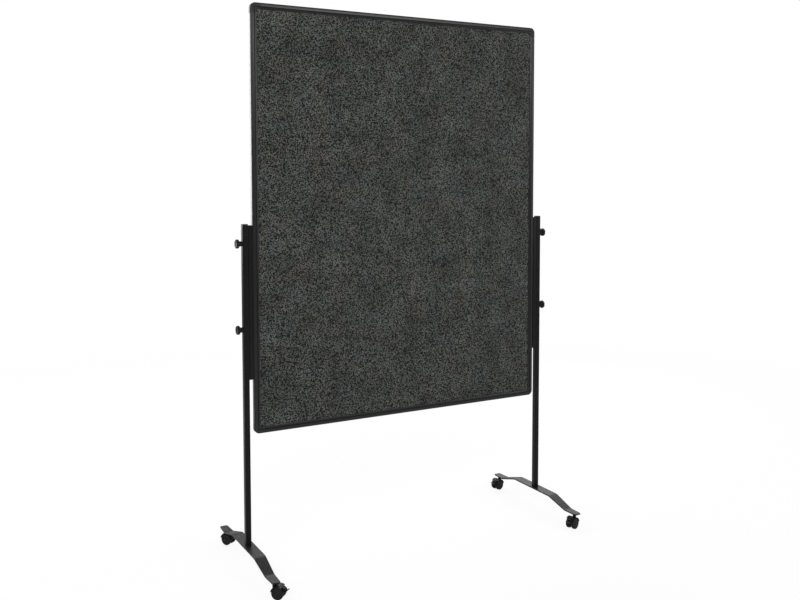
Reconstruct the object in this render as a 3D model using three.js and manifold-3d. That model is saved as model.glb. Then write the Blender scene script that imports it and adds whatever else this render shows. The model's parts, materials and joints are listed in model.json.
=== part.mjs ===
// Rolling partition: a felt-faced board in an aluminium frame. A slotted rail on each side of
// the board slides on bolts in a square post, and knobs outside the posts clamp it at its
// height. Each post stands on a bent flat-bar foot with a braked twin-wheel castor at each end.
//
// Millimetres. X is the board's width, -Y its front, +Z up. The origin is on the floor,
// midway between the castors.
import * as THREE from 'three';
import { mergeVertices } from 'three/addons/utils/BufferGeometryUtils.js';
import Module from 'manifold-3d';

const wasm = await Module();
wasm.setup();

// ---------------------------------------------------------------- driving dimensions
// Clearances
const SEAT_GAP = 0.3; // between faces that rest on each other
const RUNNING_GAP = 0.5; // between faces that pass each other
const HOLE_CLEARANCE = 0.3; // round a bolt, pin or screw, on the radius

// Board
const BOARD_WIDTH = 1200;
const BOARD_HEIGHT = 1500;
const BOARD_BOTTOM = 480; // the frame's lower edge above the floor
const CORE_THICKNESS = 9.4;
const FELT_THICKNESS = 1.5; // under the frame's lip
const FELT_LOFT = 0.2; // the open face stands this much higher

// Frame profile: a hollow extrusion with a groove that takes the panel's edge
const FRAME_FACE = 22; // width seen from the front
const FRAME_DEPTH = 22;
const FRAME_EDGE_RADIUS = 5;
const LIP_EDGE_RADIUS = 0.8;
const LIP_SLOPE_WIDTH = 7; // the face falls towards the panel over this width
const LIP_SLOPE_DROP = 2.2;
const GROOVE_DEPTH = 12;
const PANEL_INSERTION = 8; // how far the panel reaches into the groove
const CHAMBER_WALL = 2;
const CHAMBER_SIDE_WALL = 3.5;

// Moulded corner: two arms round a rounded outer corner, with a tongue into each profile
const CORNER_ARM = 36;
const CORNER_RADIUS = 15;
const TONGUE_LENGTH = 28;

// Slotted rail on the frame's side
const RAIL_LENGTH = 540;
const RAIL_BOTTOM = 195; // its lower end above the frame's lower edge
const RAIL_WIDTH = 20;
const RAIL_DEPTH = 15.4;
const RAIL_BASE = 4;
const RAIL_WALL = 2.2;
const RAIL_LIP = 2.2;
const RAIL_SLOT = 9;
const RAIL_EDGE_RADIUS = 1;
const RAIL_SCREW_INSET = 40; // from each end of the rail
const RAIL_SCREW_RADIUS = 1.5;
const RAIL_SCREW_LENGTH = 10.5; // below the head
const RAIL_SCREW_POINT = 0.6;
const RAIL_SCREW_HEAD_RADIUS = 3;
const RAIL_SCREW_HEAD_HEIGHT = 1.9;
const RAIL_SCREW_HEAD_SLOPE = 1;
const RAIL_SCREW_RECESS_RADIUS = 1.2;
const RAIL_SCREW_RECESS_DEPTH = 1.1;

// Post
const POST_SIZE = 20;
const POST_WALL = 1.5;
const POST_EDGE_RADIUS = 2;
const POST_LENGTH = 1128;
const CAP_HEIGHT = 4.4;
const CAP_EDGE = 1.2;
const CAP_PLUG_LENGTH = 14;
const CAP_PLUG_WALL = 2;
const BASE_PLUG_LENGTH = 26;

// Clamp: the bolt's head runs in the rail, and a knob outside the post draws it tight
const UPPER_BOLT_BELOW_POST_TOP = 63;
const BOLT_SPACING = 300;
const BOLT_RADIUS = 4;
const BOLT_HEAD_THICKNESS = 6;
const BOLT_HEAD_HEIGHT = 13;
const BOLT_HEAD_CORNER = 2;
const BOLT_END_GAP = 1; // in the knob's blind bore
const KNOB_RADIUS = 16;
const KNOB_LOBES = 7;
const KNOB_LOBE_DEPTH = 1.5;
const KNOB_HEAD_THICKNESS = 10;
const KNOB_HEAD_EDGE = 2.5;
const KNOB_HUB_LENGTH = 12;
const KNOB_HUB_RADIUS = 8;
const KNOB_BORE_DEPTH = 16;
const KNOB_RIBS = 6;
const KNOB_RIB_HEIGHT = 1;

// Foot: a flat bar, bent down to a tab at each end and narrowed towards it
const FOOT_LENGTH = 564;
const FOOT_THICKNESS = 5;
const FOOT_RISE = 28; // the middle's height above the tabs
const FOOT_MIDDLE_LENGTH = 240; // between the upper bends
const FOOT_TAB_LENGTH = 64;
const FOOT_MIDDLE_WIDTH = 42;
const FOOT_NECK_WIDTH = 34;
const FOOT_END_WIDTH = 28;
const FOOT_BEND_RADIUS = 12;
const FOOT_CORNER_RADIUS = 5;
const FOOT_SCREW_RADIUS = 4;
const FOOT_SCREW_HEAD_RADIUS = 6.5;
const FOOT_SCREW_HEAD_HEIGHT = 7;
const FOOT_SCREW_THREAD = 22; // above the foot
const SOCKET_RADIUS = 3;
const SOCKET_DEPTH = 3.5;

// Castor
const CASTOR_HEIGHT = 54; // from the floor to the tab's underside
const CASTOR_INSET = 22; // from the foot's end to the swivel axis
const WHEEL_RADIUS = 21;
const WHEEL_WIDTH = 11.2;
const TREAD_EDGE = 1.6;
const HUB_RADIUS = 6.5;
const HUB_RECESS = 0.3;
const DISH_DEPTH = 1.6;
const DISH_SLOPE = 1;
const RIM_WIDTH = 3.6;
const TRAIL = 16; // from the swivel axis back to the axle
const AXLE_RADIUS = 2.5;
const AXLE_CHAMFER = 0.5;
const STEM_RADIUS = 4;
const STEM_CHAMFER = 1;
const STEM_FLANGE_RADIUS = 7.5;
const STEM_FLANGE_THICKNESS = 2.4;
const STEM_TIP = 29; // the stem's lower end above the floor
const WEB_THICKNESS = 12;
const WEB_BOSS_RADIUS = 9;
const NECK_LENGTH = 17; // along the trail
const NECK_END_RADIUS = 4.5;
const SOCKET_BOTTOM = 2; // the housing's thickness below the stem
const FENDER_THICKNESS = 2;
const FENDER_CLEARANCE = 1.3;
const FENDER_OVERHANG = 0.8; // past the wheel's outer face
const FENDER_FRONT = 172; // degrees round the axle, from the trailing side
const FENDER_BACK = 54;
const WEB_MARGIN = 2; // degrees by which the web stops short of the fender's front edge
const LEVER_PIVOT_ANGLE = 40;
const LEVER_PIVOT_LIFT = 3.5; // the pivot's height above the tread
const LEVER_EYE_RADIUS = 2.9;
const LEVER_PIN_RADIUS = 1.3;
const LEVER_CHEEK = 2.5;
const LEVER_PLATE_THICKNESS = 2.2;
const LEVER_PLATE_WIDTH = 27;
const LEVER_PLATE_END = 8; // degrees round the axle
const LEVER_LINK_INSET = 0.3; // how much thinner the cheeks' links are than the plate
const LEVER_OVERLAP = 3.5; // degrees that the plate shares with its links and its tongue
const LEVER_TONGUE_LENGTH = 12;
const LEVER_TONGUE_SLOPE = 38;
const LEVER_TONGUE_WIDTH = 20;
const LEVER_TONGUE_ROUNDING = 1; // of its end, in side view

// How the castors have come to rest: the trailing direction, in degrees from +X
const SWIVEL = { left_front: -45, left_rear: -60, right_front: 200, right_rear: 195 };

// ---------------------------------------------------------------- derived places
const frameHalfWidth = BOARD_WIDTH / 2;
const boardCentreHeight = BOARD_BOTTOM + BOARD_HEIGHT / 2;
const panelWidth = BOARD_WIDTH - 2 * (FRAME_FACE - PANEL_INSERTION);
const panelHeight = BOARD_HEIGHT - 2 * (FRAME_FACE - PANEL_INSERTION);
const feltCentre = CORE_THICKNESS / 2 + SEAT_GAP + FELT_THICKNESS / 2;
const grooveHalfWidth = feltCentre + FELT_THICKNESS / 2 + SEAT_GAP;
const chamberInner = GROOVE_DEPTH + CHAMBER_WALL;
const chamberOuter = FRAME_FACE - CHAMBER_WALL;
const chamberHalfWidth = FRAME_DEPTH / 2 - CHAMBER_SIDE_WALL;
const railFoot = BOARD_BOTTOM + RAIL_BOTTOM;
const postCentre = frameHalfWidth + SEAT_GAP + RAIL_DEPTH + SEAT_GAP + POST_SIZE / 2;
const tabTop = CASTOR_HEIGHT + FOOT_THICKNESS;
const footTop = tabTop + FOOT_RISE;
const postFoot = footTop + SEAT_GAP;
const postTop = postFoot + POST_LENGTH;
const postBore = POST_SIZE - 2 * POST_WALL;
const plugSize = postBore - 2 * SEAT_GAP;
const boltHeights = {
  lower: postTop - UPPER_BOLT_BELOW_POST_TOP - BOLT_SPACING,
  upper: postTop - UPPER_BOLT_BELOW_POST_TOP,
};
const castorReach = FOOT_LENGTH / 2 - CASTOR_INSET;
const wheelInner = WEB_THICKNESS / 2 + RUNNING_GAP;
const wheelOuter = wheelInner + WHEEL_WIDTH;
const fenderInner = WHEEL_RADIUS + FENDER_CLEARANCE;
const fenderOuter = fenderInner + FENDER_THICKNESS;
const leverPivotRadius = WHEEL_RADIUS + LEVER_PIVOT_LIFT;

// ---------------------------------------------------------------- shape helpers
const radians = THREE.MathUtils.degToRad;

// A closed mesh with its faces turned outwards, whichever way its profile was drawn.
function outward(geometry) {
  const bare = geometry.clone();
  bare.deleteAttribute('normal');
  bare.deleteAttribute('uv');
  const merged = mergeVertices(bare, 1e-4);
  const point = merged.attributes.position;
  const index = merged.index.array;
  const [a, b, c] = [new THREE.Vector3(), new THREE.Vector3(), new THREE.Vector3()];
  let volume = 0;
  for (let i = 0; i < index.length; i += 3) {
    a.fromBufferAttribute(point, index[i]);
    b.fromBufferAttribute(point, index[i + 1]);
    c.fromBufferAttribute(point, index[i + 2]);
    volume += a.dot(b.cross(c));
  }
  if (volume < 0) {
    for (let i = 0; i < index.length; i += 3) {
      [index[i], index[i + 1]] = [index[i + 1], index[i]];
    }
  }
  return merged;
}

function toSolid(geometry) {
  const closed = outward(geometry);
  return new wasm.Manifold(new wasm.Mesh({
    numProp: 3,
    vertProperties: new Float32Array(closed.attributes.position.array),
    triVerts: new Uint32Array(closed.index.array),
  }));
}

function toGeometry(solid) {
  const mesh = solid.getMesh();
  const geometry = new THREE.BufferGeometry();
  geometry.setAttribute('position', new THREE.BufferAttribute(mesh.vertProperties, 3));
  geometry.setIndex(new THREE.BufferAttribute(mesh.triVerts, 1));
  geometry.computeVertexNormals();
  return geometry;
}

function join(first, ...others) {
  return others.reduce((whole, next) => whole.add(toSolid(next)), toSolid(first));
}

function cut(solid, ...tools) {
  return tools.reduce((rest, tool) => rest.subtract(toSolid(tool)), solid);
}

function box(x, y, z, centre = [0, 0, 0]) {
  return new THREE.BoxGeometry(x, y, z).translate(...centre);
}

// A round bar along X, Y or Z, centred on a point.
function bar(axis, radius, length, centre = [0, 0, 0], sides = 20) {
  const geometry = new THREE.CylinderGeometry(radius, radius, length, sides);
  if (axis === 'x') geometry.rotateZ(Math.PI / 2);
  if (axis === 'z') geometry.rotateX(Math.PI / 2);
  return geometry.translate(...centre);
}

// A revolved piece. The profile's points are [radius, height]; the axis is Z or Y.
function revolved(profile, axis, sides) {
  const points = profile.map(([r, h]) => new THREE.Vector2(r, h));
  const geometry = new THREE.LatheGeometry(points, sides);
  return axis === 'z' ? geometry.rotateX(Math.PI / 2) : geometry;
}

function extruded(shape, length, curveSegments = 6) {
  return new THREE.ExtrudeGeometry(shape, { depth: length, bevelEnabled: false, curveSegments });
}

// A shape drawn in X and Z, made solid along Y and centred on it.
function extrudedAlongY(shape, width, curveSegments = 6) {
  return extruded(shape, width, curveSegments).rotateX(Math.PI / 2).translate(0, width / 2, 0);
}

// A polygon whose corners may each be rounded: points are [x, y, radius].
function roundedShape(corners, steps = 4) {
  const outline = [];
  corners.forEach(([x, y, radius = 0], i) => {
    const at = new THREE.Vector2(x, y);
    if (radius === 0) {
      outline.push(at);
      return;
    }
    const before = corners[(i + corners.length - 1) % corners.length];
    const after = corners[(i + 1) % corners.length];
    const back = new THREE.Vector2(before[0] - x, before[1] - y).normalize();
    const ahead = new THREE.Vector2(after[0] - x, after[1] - y).normalize();
    const halfAngle = Math.acos(back.dot(ahead)) / 2;
    const centre = back.clone().add(ahead).normalize();
    centre.multiplyScalar(radius / Math.sin(halfAngle)).add(at);
    const start = at.clone().addScaledVector(back, radius / Math.tan(halfAngle)).sub(centre);
    const end = at.clone().addScaledVector(ahead, radius / Math.tan(halfAngle)).sub(centre);
    const turn = Math.atan2(start.cross(end), start.dot(end));
    for (let step = 0; step <= steps; step += 1) {
      const spoke = start.clone().rotateAround(new THREE.Vector2(), (turn * step) / steps);
      outline.push(spoke.add(centre));
    }
  });
  return new THREE.Shape(outline);
}

function square(size, edgeRadius = 0) {
  const half = size / 2;
  return roundedShape([
    [half, -half, edgeRadius],
    [half, half, edgeRadius],
    [-half, half, edgeRadius],
    [-half, -half, edgeRadius],
  ], 3);
}

// Part of a ring round the origin, between two radii and two angles in degrees.
function ringSector(inner, outer, from, to) {
  const shape = new THREE.Shape();
  shape.absarc(0, 0, outer, radians(from), radians(to), false);
  shape.absarc(0, 0, inner, radians(to), radians(from), true);
  shape.closePath();
  return shape;
}

function pieSector(radius, from, to) {
  const shape = new THREE.Shape();
  shape.absarc(0, 0, radius, radians(from), radians(to), false);
  shape.lineTo(0, 0);
  shape.closePath();
  return shape;
}

// ---------------------------------------------------------------- finishes
const finish = (color, roughness, metalness) =>
  new THREE.MeshStandardMaterial({ color, roughness, metalness });
const finishes = {
  aluminium: () => finish(0x17181a, 0.38, 0.6),
  moulding: () => finish(0x151617, 0.5, 0),
  felt: () => finish(0x35393a, 0.97, 0),
  core: () => finish(0xa89878, 0.9, 0),
  powder: () => finish(0x1c1d1f, 0.42, 0.2),
  steel: () => finish(0x55585c, 0.35, 0.9),
  castor: () => finish(0x101112, 0.45, 0),
};

function piece(name, geometry, material) {
  const mesh = new THREE.Mesh(geometry, finishes[material]());
  mesh.name = name;
  return mesh;
}

// ---------------------------------------------------------------- board
// The profile's outline: X runs from the inner lip outwards, Y across the board's thickness.
function frameOutline() {
  const half = FRAME_DEPTH / 2;
  const lip = half - LIP_SLOPE_DROP;
  return [
    [0, -lip, LIP_EDGE_RADIUS],
    [LIP_SLOPE_WIDTH, -half],
    [FRAME_FACE, -half, FRAME_EDGE_RADIUS],
    [FRAME_FACE, half, FRAME_EDGE_RADIUS],
    [LIP_SLOPE_WIDTH, half],
    [0, lip, LIP_EDGE_RADIUS],
  ];
}

function frameProfile() {
  const groove = [
    [0, grooveHalfWidth],
    [GROOVE_DEPTH, grooveHalfWidth],
    [GROOVE_DEPTH, -grooveHalfWidth],
    [0, -grooveHalfWidth],
  ];
  const shape = roundedShape([...frameOutline(), ...groove]);
  shape.holes.push(new THREE.Path([
    new THREE.Vector2(chamberInner, -chamberHalfWidth),
    new THREE.Vector2(chamberInner, chamberHalfWidth),
    new THREE.Vector2(chamberOuter, chamberHalfWidth),
    new THREE.Vector2(chamberOuter, -chamberHalfWidth),
  ]));
  return shape;
}

function frameMember(boardSpan) {
  const length = boardSpan - 2 * (CORNER_ARM + SEAT_GAP);
  return extruded(frameProfile(), length).translate(-FRAME_FACE, 0, -length / 2);
}

// Heights above the board's middle at which the rail's screws enter the frame.
const railMiddle = railFoot + RAIL_LENGTH / 2;
const railScrewHeights = {
  lower: railMiddle - RAIL_LENGTH / 2 + RAIL_SCREW_INSET,
  upper: railMiddle + RAIL_LENGTH / 2 - RAIL_SCREW_INSET,
};

function frameUpright() {
  const holes = Object.values(railScrewHeights).map((height) =>
    bar('x', RAIL_SCREW_RADIUS + HOLE_CLEARANCE, 2 * CHAMBER_WALL,
      [0, 0, height - boardCentreHeight], 12));
  return toGeometry(cut(toSolid(frameMember(BOARD_HEIGHT)), ...holes));
}

// The outer corner is at the origin, and the arms run towards -X and -Z.
function frameCorner() {
  const armLength = CORNER_ARM - CORNER_RADIUS;
  const arm = () => extruded(roundedShape(frameOutline()), armLength);
  const upright = arm().translate(-FRAME_FACE, 0, -CORNER_ARM);
  const level = arm().rotateY(-Math.PI / 2).translate(-CORNER_RADIUS, 0, -FRAME_FACE);
  const half = FRAME_DEPTH / 2;
  const edge = roundedShape([
    [0, -half],
    [CORNER_RADIUS, -half, FRAME_EDGE_RADIUS],
    [CORNER_RADIUS, half, FRAME_EDGE_RADIUS],
    [0, half],
  ]).getPoints().map((p) => [p.x, p.y]);
  const knuckle = revolved(edge, 'y', 24).translate(-CORNER_RADIUS, 0, -CORNER_RADIUS);
  const reach = CORNER_RADIUS + SEAT_GAP;
  const quarter = box(2 * reach, 2 * FRAME_DEPTH, 2 * reach);
  const rounded = toSolid(knuckle).intersect(toSolid(quarter));
  const tongueThickness = chamberOuter - chamberInner - 2 * SEAT_GAP;
  const tongueWidth = 2 * (chamberHalfWidth - SEAT_GAP);
  const tongueCentre = (chamberInner + chamberOuter) / 2 - FRAME_FACE;
  const tongueMiddle = -CORNER_ARM - TONGUE_LENGTH / 2;
  const root = FRAME_EDGE_RADIUS;
  const uprightTongue = box(tongueThickness, tongueWidth, TONGUE_LENGTH + root,
    [tongueCentre, 0, tongueMiddle + root / 2]);
  const levelTongue = box(TONGUE_LENGTH + root, tongueWidth, tongueThickness,
    [tongueMiddle + root / 2, 0, tongueCentre]);
  const grooveFloor = FRAME_FACE - GROOVE_DEPTH;
  const grooveMiddle = -grooveFloor - CORNER_ARM;
  const groove = box(2 * CORNER_ARM, 2 * grooveHalfWidth, 2 * CORNER_ARM,
    [grooveMiddle, 0, grooveMiddle]);
  const body = cut(join(upright, level).add(rounded), groove);
  return toGeometry(body.add(toSolid(uprightTongue)).add(toSolid(levelTongue)));
}

// The rail's section: X runs from the frame outwards, and the slot faces the post.
function sideRail() {
  const half = RAIL_WIDTH / 2;
  const cavity = half - RAIL_WALL;
  const lip = RAIL_DEPTH - RAIL_LIP;
  const section = roundedShape([
    [0, -half, RAIL_EDGE_RADIUS],
    [RAIL_DEPTH, -half, RAIL_EDGE_RADIUS],
    [RAIL_DEPTH, -RAIL_SLOT / 2],
    [lip, -RAIL_SLOT / 2],
    [lip, -cavity],
    [RAIL_BASE, -cavity],
    [RAIL_BASE, cavity],
    [lip, cavity],
    [lip, RAIL_SLOT / 2],
    [RAIL_DEPTH, RAIL_SLOT / 2],
    [RAIL_DEPTH, half, RAIL_EDGE_RADIUS],
    [0, half, RAIL_EDGE_RADIUS],
  ], 2);
  const rail = extruded(section, RAIL_LENGTH).translate(0, 0, -RAIL_LENGTH / 2);
  const holes = Object.values(railScrewHeights).map((height) =>
    bar('x', RAIL_SCREW_RADIUS + HOLE_CLEARANCE, 3 * RAIL_BASE, [0, 0, height - railMiddle], 12));
  return toGeometry(cut(toSolid(rail), ...holes));
}

// A low round head on the rail's base, and a shank into the frame. The head faces +X.
function railScrew() {
  const top = RAIL_SCREW_HEAD_HEIGHT;
  const recess = top - RAIL_SCREW_RECESS_DEPTH;
  const profile = [
    [0, -RAIL_SCREW_LENGTH],
    [RAIL_SCREW_RADIUS - RAIL_SCREW_POINT, -RAIL_SCREW_LENGTH],
    [RAIL_SCREW_RADIUS, -RAIL_SCREW_LENGTH + RAIL_SCREW_POINT],
    [RAIL_SCREW_RADIUS, 0],
    [RAIL_SCREW_HEAD_RADIUS, 0],
    [RAIL_SCREW_HEAD_RADIUS, top - RAIL_SCREW_HEAD_SLOPE],
    [RAIL_SCREW_HEAD_RADIUS - RAIL_SCREW_HEAD_SLOPE, top],
    [RAIL_SCREW_RECESS_RADIUS, top],
    [RAIL_SCREW_RECESS_RADIUS, recess],
    [0, recess],
  ];
  return revolved(profile, 'y', 8).rotateZ(-Math.PI / 2);
}

// The lip holds the sheet's border down, so the open face stands a little higher. It faces +Y.
function feltSheet() {
  const openSpan = (span) => span - 2 * (FRAME_FACE + RUNNING_GAP);
  const depth = FELT_THICKNESS / 2 + FELT_LOFT;
  const border = box(panelWidth, FELT_THICKNESS, panelHeight);
  const face = box(openSpan(BOARD_WIDTH), depth, openSpan(BOARD_HEIGHT), [0, depth / 2, 0]);
  return toGeometry(join(border, face));
}

function board() {
  const group = new THREE.Group();
  group.position.z = boardCentreHeight;
  group.add(piece('board_core', box(panelWidth, CORE_THICKNESS, panelHeight), 'core'));
  for (const [face, side] of [['front', -1], ['back', 1]]) {
    const felt = piece(`felt_${face}`, feltSheet(), 'felt');
    felt.rotation.z = side < 0 ? Math.PI : 0;
    felt.position.y = side * feltCentre;
    group.add(felt);
  }

  const top = piece('frame_top', frameMember(BOARD_WIDTH), 'aluminium');
  top.rotation.y = -Math.PI / 2;
  top.position.z = BOARD_HEIGHT / 2;
  const bottom = piece('frame_bottom', frameMember(BOARD_WIDTH), 'aluminium');
  bottom.rotation.y = Math.PI / 2;
  bottom.position.z = -BOARD_HEIGHT / 2;
  group.add(top, bottom);

  const corners = [
    ['top_right', 1, 1, 0],
    ['bottom_right', 1, -1, Math.PI / 2],
    ['bottom_left', -1, -1, Math.PI],
    ['top_left', -1, 1, -Math.PI / 2],
  ];
  for (const [place, x, z, turn] of corners) {
    const corner = piece(`corner_${place}`, frameCorner(), 'moulding');
    corner.position.set((x * BOARD_WIDTH) / 2, 0, (z * BOARD_HEIGHT) / 2);
    corner.rotation.y = turn;
    group.add(corner);
  }

  for (const [side, turn] of [['left', Math.PI], ['right', 0]]) {
    const flank = new THREE.Group();
    flank.rotation.z = turn;
    const upright = piece(`frame_${side}`, frameUpright(), 'aluminium');
    upright.position.x = frameHalfWidth;
    const rail = piece(`rail_${side}`, sideRail(), 'aluminium');
    rail.position.set(frameHalfWidth + SEAT_GAP, 0, railMiddle - boardCentreHeight);
    flank.add(upright, rail);
    for (const [level, height] of Object.entries(railScrewHeights)) {
      const screw = piece(`rail_screw_${side}_${level}`, railScrew(), 'steel');
      const head = frameHalfWidth + SEAT_GAP + RAIL_BASE + SEAT_GAP;
      screw.position.set(head, 0, height - boardCentreHeight);
      flank.add(screw);
    }
    group.add(flank);
  }
  return group;
}

// ---------------------------------------------------------------- post and clamp
function post() {
  const section = square(POST_SIZE, POST_EDGE_RADIUS);
  section.holes.push(square(postBore));
  const tube = extruded(section, POST_LENGTH);
  const holes = Object.values(boltHeights).map((height) =>
    bar('x', BOLT_RADIUS + HOLE_CLEARANCE, 2 * POST_SIZE, [0, 0, height - postFoot], 12));
  return toGeometry(cut(toSolid(tube), ...holes));
}

// A moulded cap with softened top edges and a hollow plug inside the tube.
function postCap() {
  const cover = new THREE.ExtrudeGeometry(
    square(POST_SIZE - 2 * CAP_EDGE, POST_EDGE_RADIUS - CAP_EDGE),
    { depth: CAP_HEIGHT - 2 * CAP_EDGE, bevelSize: CAP_EDGE, bevelThickness: CAP_EDGE,
      bevelSegments: 2 },
  ).translate(0, 0, CAP_EDGE);
  const root = CAP_HEIGHT / 2;
  const bore = plugSize - 2 * CAP_PLUG_WALL;
  const plug = box(plugSize, plugSize, CAP_PLUG_LENGTH + root, [0, 0, (root - CAP_PLUG_LENGTH) / 2]);
  const hollow = box(bore, bore, 2 * CAP_PLUG_LENGTH, [0, 0, -CAP_PLUG_LENGTH]);
  return toGeometry(cut(join(cover, plug), hollow));
}

// A threaded block in the tube's foot, which the foot's screw pulls down.
function basePlug() {
  const block = box(plugSize, plugSize, BASE_PLUG_LENGTH, [0, 0, BASE_PLUG_LENGTH / 2]);
  const bore = bar('z', FOOT_SCREW_RADIUS + HOLE_CLEARANCE, 3 * BASE_PLUG_LENGTH, [0, 0, 0], 12);
  return toGeometry(cut(toSolid(block), bore));
}

// The head lies behind the rail's lips; the shank runs to +X through the post. X is measured
// from the head's clamping face.
const boltShankLength = RAIL_LIP + 2 * SEAT_GAP + POST_SIZE + SEAT_GAP
  + KNOB_BORE_DEPTH - BOLT_END_GAP;

function railBolt() {
  const halfWidth = RAIL_WIDTH / 2 - RAIL_WALL - RUNNING_GAP;
  const halfHeight = BOLT_HEAD_HEIGHT / 2;
  const head = roundedShape([
    [halfWidth, -halfHeight, BOLT_HEAD_CORNER],
    [halfWidth, halfHeight, BOLT_HEAD_CORNER],
    [-halfWidth, halfHeight, BOLT_HEAD_CORNER],
    [-halfWidth, -halfHeight, BOLT_HEAD_CORNER],
  ], 3);
  const upright = new THREE.Matrix4().makeBasis(
    new THREE.Vector3(0, 1, 0), new THREE.Vector3(0, 0, 1), new THREE.Vector3(1, 0, 0));
  const plate = extruded(head, BOLT_HEAD_THICKNESS).applyMatrix4(upright);
  plate.translate(-BOLT_HEAD_THICKNESS, 0, 0);
  const root = BOLT_HEAD_THICKNESS / 2;
  const shank = bar('x', BOLT_RADIUS, boltShankLength + root,
    [(boltShankLength - root) / 2, 0, 0], 12);
  return toGeometry(join(plate, shank));
}

// A lobed grip on a ribbed hub. X is measured outwards from the hub's foot.
function clampKnob() {
  const outline = new THREE.Shape();
  const steps = KNOB_LOBES * 4;
  const grip = KNOB_RADIUS - KNOB_HEAD_EDGE - KNOB_LOBE_DEPTH / 2;
  for (let step = 0; step < steps; step += 1) {
    const angle = (2 * Math.PI * step) / steps;
    const radius = grip + (KNOB_LOBE_DEPTH / 2) * Math.cos(KNOB_LOBES * angle);
    const point = [radius * Math.cos(angle), radius * Math.sin(angle)];
    if (step === 0) outline.moveTo(...point);
    else outline.lineTo(...point);
  }
  const head = new THREE.ExtrudeGeometry(outline, {
    depth: KNOB_HEAD_THICKNESS - 2 * KNOB_HEAD_EDGE,
    bevelSize: KNOB_HEAD_EDGE,
    bevelThickness: KNOB_HEAD_EDGE,
    bevelSegments: 2,
  }).translate(0, 0, KNOB_HUB_LENGTH + KNOB_HEAD_EDGE);
  // Each rib is a quarter of its share of the hub's round.
  const ribbed = Array.from({ length: 4 * KNOB_RIBS }, (_, i) => {
    const raised = i % 4 < 2 ? KNOB_RIB_HEIGHT : 0;
    const angle = (2 * Math.PI * (i - 0.5)) / (4 * KNOB_RIBS);
    const radius = KNOB_HUB_RADIUS + raised;
    return new THREE.Vector2(radius * Math.cos(angle), radius * Math.sin(angle));
  });
  const hub = extruded(new THREE.Shape(ribbed), KNOB_HUB_LENGTH + KNOB_HEAD_THICKNESS / 2);
  const bore = bar('z', BOLT_RADIUS + HOLE_CLEARANCE, 2 * KNOB_BORE_DEPTH, [0, 0, 0], 12);
  const knob = cut(join(hub, head), bore);
  return toGeometry(knob).rotateY(Math.PI / 2);
}

// ---------------------------------------------------------------- foot
// The bar's side view, in Y and Z, with Z measured from the floor.
function footSideView() {
  const end = FOOT_LENGTH / 2;
  const upper = FOOT_MIDDLE_LENGTH / 2;
  const lower = end - FOOT_TAB_LENGTH;
  const slope = Math.atan2(FOOT_RISE, lower - upper);
  const shift = FOOT_THICKNESS * Math.tan(slope / 2);
  const tight = FOOT_BEND_RADIUS;
  const wide = FOOT_BEND_RADIUS + FOOT_THICKNESS;
  const middle = footTop - FOOT_THICKNESS;
  return roundedShape([
    [-end, CASTOR_HEIGHT],
    [-lower + shift, CASTOR_HEIGHT, wide],
    [-upper + shift, middle, tight],
    [upper - shift, middle, tight],
    [lower - shift, CASTOR_HEIGHT, wide],
    [end, CASTOR_HEIGHT],
    [end, tabTop],
    [lower, tabTop, tight],
    [upper, footTop, wide],
    [-upper, footTop, wide],
    [-lower, tabTop, tight],
    [-end, tabTop],
  ], 3);
}

// The bar's outline from above, in X and Y.
function footPlan() {
  const end = FOOT_LENGTH / 2;
  const upper = FOOT_MIDDLE_LENGTH / 2;
  const lower = end - FOOT_TAB_LENGTH;
  const flank = [
    [FOOT_END_WIDTH / 2, -end, FOOT_CORNER_RADIUS],
    [FOOT_NECK_WIDTH / 2, -lower, 0],
    [FOOT_MIDDLE_WIDTH / 2, -upper, 0],
    [FOOT_MIDDLE_WIDTH / 2, upper, 0],
    [FOOT_NECK_WIDTH / 2, lower, 0],
    [FOOT_END_WIDTH / 2, end, FOOT_CORNER_RADIUS],
  ];
  const otherFlank = flank.map(([x, y, radius]) => [-x, y, radius]).reverse();
  return roundedShape([...flank, ...otherFlank], 4);
}

function footPlate() {
  const sideways = new THREE.Matrix4().makeBasis(
    new THREE.Vector3(0, 1, 0), new THREE.Vector3(0, 0, 1), new THREE.Vector3(1, 0, 0));
  const bent = extruded(footSideView(), FOOT_MIDDLE_WIDTH).applyMatrix4(sideways);
  bent.translate(-FOOT_MIDDLE_WIDTH / 2, 0, 0);
  const blank = extruded(footPlan(), 2 * footTop);
  const screwHole = bar('z', FOOT_SCREW_RADIUS + HOLE_CLEARANCE, 4 * footTop, [0, 0, 0], 12);
  const stemHoles = [-1, 1].map((side) =>
    bar('z', STEM_RADIUS + HOLE_CLEARANCE, 4 * footTop, [0, side * castorReach, 0], 12));
  return toGeometry(cut(toSolid(bent).intersect(toSolid(blank)), screwHole, ...stemHoles));
}

// A socket-head screw from below. Z is measured from the head's bearing face.
function footScrew() {
  const thread = FOOT_THICKNESS + SEAT_GAP + FOOT_SCREW_THREAD;
  const profile = [
    [0, -FOOT_SCREW_HEAD_HEIGHT + SOCKET_DEPTH],
    [SOCKET_RADIUS, -FOOT_SCREW_HEAD_HEIGHT + SOCKET_DEPTH],
    [SOCKET_RADIUS, -FOOT_SCREW_HEAD_HEIGHT],
    [FOOT_SCREW_HEAD_RADIUS, -FOOT_SCREW_HEAD_HEIGHT],
    [FOOT_SCREW_HEAD_RADIUS, 0],
    [FOOT_SCREW_RADIUS, 0],
    [FOOT_SCREW_RADIUS, thread],
    [0, thread],
  ];
  return revolved(profile, 'z', 12);
}

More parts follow.
